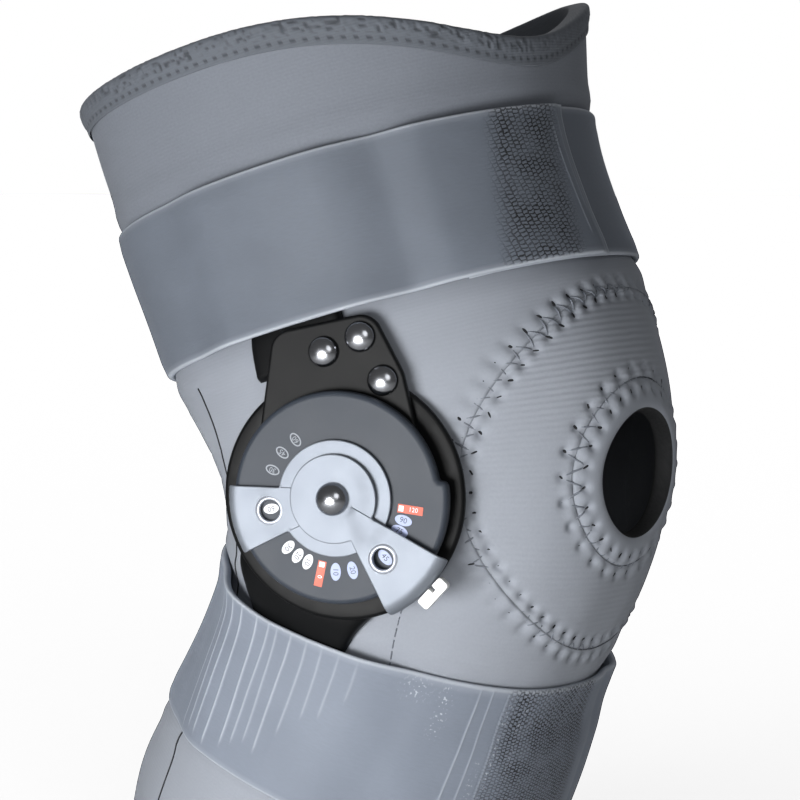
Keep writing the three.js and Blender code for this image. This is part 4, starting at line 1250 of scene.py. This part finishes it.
def side_seams():
    """A row of stitches below the hinge, and on each side towards the back a thin dark rod of painted shade
    along a joint line.
    """
    dashes = []
    for low in np.arange(STITCH_FROM, STITCH_TO, STITCH_SPACING):
        along = np.linspace(low, low + STITCH_LENGTH, STITCH_STEPS)
        turn = STITCH_TURN + rad(0.6) * np.sin(along / 6)
        sink = 0.25 * np.abs(np.linspace(-1, 1, STITCH_STEPS))
        height = 0.12 + cloth_waves(along, turn) + strap_squeeze(along, turn) - sink
        dashes.append(rod(on_leg(along, turn, height), np.full(STITCH_STEPS, STITCH_RADIUS)))
    piece("side_stitches", *gathered(dashes), [THREAD], "neoprene")
    # Painted shade along the joint lines: thin rods in the needle holes' dark shade
    joints = []
    for place, low, high in JOINT_LINES:
        along = np.linspace(low, high, JOINT_STEPS)
        turn = rad(place) + rad(0.8) * np.sin(along / 31)
        height = cloth_waves(along, turn) + strap_squeeze(along, turn) + 0.02
        joints.append(rod(on_leg(along, turn, height), np.full(JOINT_STEPS, JOINT_RADIUS)))
    piece("sleeve_joint_painted_shade", *gathered(joints), [NEEDLE_SHADE], "neoprene")


# Making
sleeve_piece = sleeve()
panel_piece = knee_panel()
ring_piece = padded_ring()
zigzag_stitching("ring_seam", RING_SEAM, ring_top, "padded_rim")
panel_stitching = zigzag_stitching("panel_seam", PANEL_SEAM, panel_top, "ribbed_knit")
top_tape = binding("top_edge_tape", rim_at, 1, "top_binding")
bottom_tape = binding("bottom_edge_tape", bottom_at, -1, "bottom_binding")
side_seams()

# Creases of the straps: turn in degrees, from and to as shares of the width, strength
UPPER_CREASES = [(10, 0.15, 0.9, 0.4), (7.5, 0.3, 0.95, 0.3), (5, 0.05, 0.6, 0.35)]
LOWER_CREASES = [(121, 0.05, 0.98, 0.5), (117.5, 0.1, 0.98, 0.7), (114, 0.1, 0.98, 0.8),
                 (110, 0.08, 0.98, 0.9), (104.5, 0.15, 0.98, 0.9), (101, 0.2, 0.98, 0.7),
                 (98, 0.25, 0.97, 0.6), (94, 0.22, 0.97, 0.75), (89.5, 0.4, 0.97, 0.55),
                 (85, 0.55, 0.96, 0.5), (80.5, 0.6, 0.96, 0.45), (76, 0.75, 0.95, 0.35),
                 (44.5, 0.0, 0.96, 0.6), (40.5, 0.0, 0.97, 0.5), (35, 0.1, 0.97, 0.35)]
# Pulled loops: turn in degrees, reach to each side in mm, from and to as shares of the width
LOWER_SPECKS = [(61, 3.2, 0.88, 0.96), (53, 1.6, 0.7, 0.97), (37.5, 0.8, 0.1, 0.6), (33.5, 1.1, 0.0, 0.95),
                (27, 1.0, 0.5, 0.96)]
UPPER_HOOK_TAPE = dict(first=9, last=31, soft=3.5, slant=8)
LOWER_HOOK_TAPE = dict(first=-14, last=33, soft=4, slant=0)
upper_strap_piece = strap("upper_strap_elastic", "upper_strap", UPPER_STRAP, UPPER_BAR, UPPER_ELASTIC,
                          UPPER_CREASES, UPPER_HOOK_TAPE)
lower_strap_piece = strap("lower_strap_elastic", "lower_strap", LOWER_STRAP, LOWER_BAR, LOWER_ELASTIC,
                          LOWER_CREASES, LOWER_HOOK_TAPE, LOWER_SPECKS)

lower_arm()
upper_arm()
dial()
dial_marks()
lever("extension_stop_lever", "extension_lever", "extension_stop", low=12, disc=17, angle=193, root=2.7,
      spread=13, tip=32.7, window_reach=19.9, window_angle=191.4, bend_from=30.2, bend=1.9, lip=1.1,
      fold=0.25, fold_from=10, fold_sides=(1, -1), spring=0.0)
lever("flexion_stop_lever", "flexion_lever", "flexion_stop", low=13.5, disc=13, angle=315, root=0.8,
      spread=16.5, tip=37.5, window_reach=22.6, window_angle=311.8, bend_from=34, bend=2.9, lip=1.6,
      fold=0.55, fold_from=4.6, fold_sides=(1,), spring=0.45)
pull_tab()
dome_rivet("pivot_dome_rivet", "pivot_rivet", (0, 0), shank=3.5, head=4.8, low=1.6, head_low=15, dome=3.6)
for index, place in enumerate(RIVETS, 1):
    dome_rivet(f"arm_dome_rivet_{index}", f"arm_rivet_{index}", place, shank=1.9, head=4.5, low=4.6,
               head_low=7.2, dome=2.9)


# Studio: pale floor, soft lights, camera
def studio_floor(half_size, top):
    mesh = bpy.data.meshes.new("studio_floor")
    corners = [(x * half_size, y * half_size, top) for x, y in ((-1, -1), (1, -1), (1, 1), (-1, 1))]
    mesh.from_pydata(corners, [], [(0, 1, 2, 3)])
    made = bpy.data.objects.new("studio_floor", mesh)
    bpy.context.scene.collection.objects.link(made)
    # White studio paper: flat and dull, it shows only the brace's shadow
    paper, tree = finish_named("white_studio_paper")
    shader = node(tree, "BsdfPrincipled", {"Base Color": linear("f4f4f4"), "Roughness": 0.9})
    node(tree, "OutputMaterial", {"Surface": shader})
    mesh.materials.append(paper)
    made.is_shadow_catcher = True


def aimed(name, data, azimuth, elevation, distance, aim):
    """A light or camera at a distance from a point, in metres, looking at it."""
    made = bpy.data.objects.new(name, data)
    a, e = rad(azimuth), rad(elevation)
    back = Vector((math.sin(a) * math.cos(e), -math.cos(a) * math.cos(e), math.sin(e)))
    made.location = Vector(aim) + back * distance
    made.rotation_mode = "QUATERNION"
    made.rotation_quaternion = (-back).to_track_quat("-Z", "Y")
    bpy.context.scene.collection.objects.link(made)
    return made


def soft_light(name, size, power, **place):
    lamp = bpy.data.lights.new(name, "AREA")
    lamp.shape, lamp.size, lamp.energy = "DISK", size, power
    aimed(name, lamp, **place)


studio_floor(half_size=40.0, top=CAD_BOX[0].z)
soft_light("key_softbox", 0.34, 6.0, azimuth=4, elevation=-9, distance=0.62, aim=(0, -0.02, -0.03))
soft_light("camera_softbox", 0.5, 1.6, azimuth=38, elevation=16, distance=1.1, aim=(0, 0, 0.02))
soft_light("back_softbox", 0.9, 2.2, azimuth=215, elevation=40, distance=1.2, aim=(0, 0, 0))

# The camera sees a white backdrop, but only a faint even light comes from it
world = bpy.data.worlds.new("white_studio")
bpy.context.scene.world = world
world.use_nodes = True
world.node_tree.nodes.clear()
ambient, backdrop = (node(world.node_tree, "Background", {"Color": linear("ffffff"), "Strength": strength})
                     for strength in (0.13, 1.0))
seen = node(world.node_tree, "LightPath", out="Is Camera Ray")
both = node(world.node_tree, "MixShader", [seen, ambient, backdrop])
node(world.node_tree, "OutputWorld", {"Surface": both})

lens = bpy.data.cameras.new("camera")
lens.lens, lens.sensor_width, lens.clip_start, lens.clip_end = 142.86, 36.0, 0.01, 50.0
bpy.context.scene.camera = aimed("camera", lens, azimuth=32, elevation=4, distance=1.0,
                                 aim=(-0.02055, 0.00715, 0.030))
bpy.context.scene.view_settings.view_transform = "Standard"
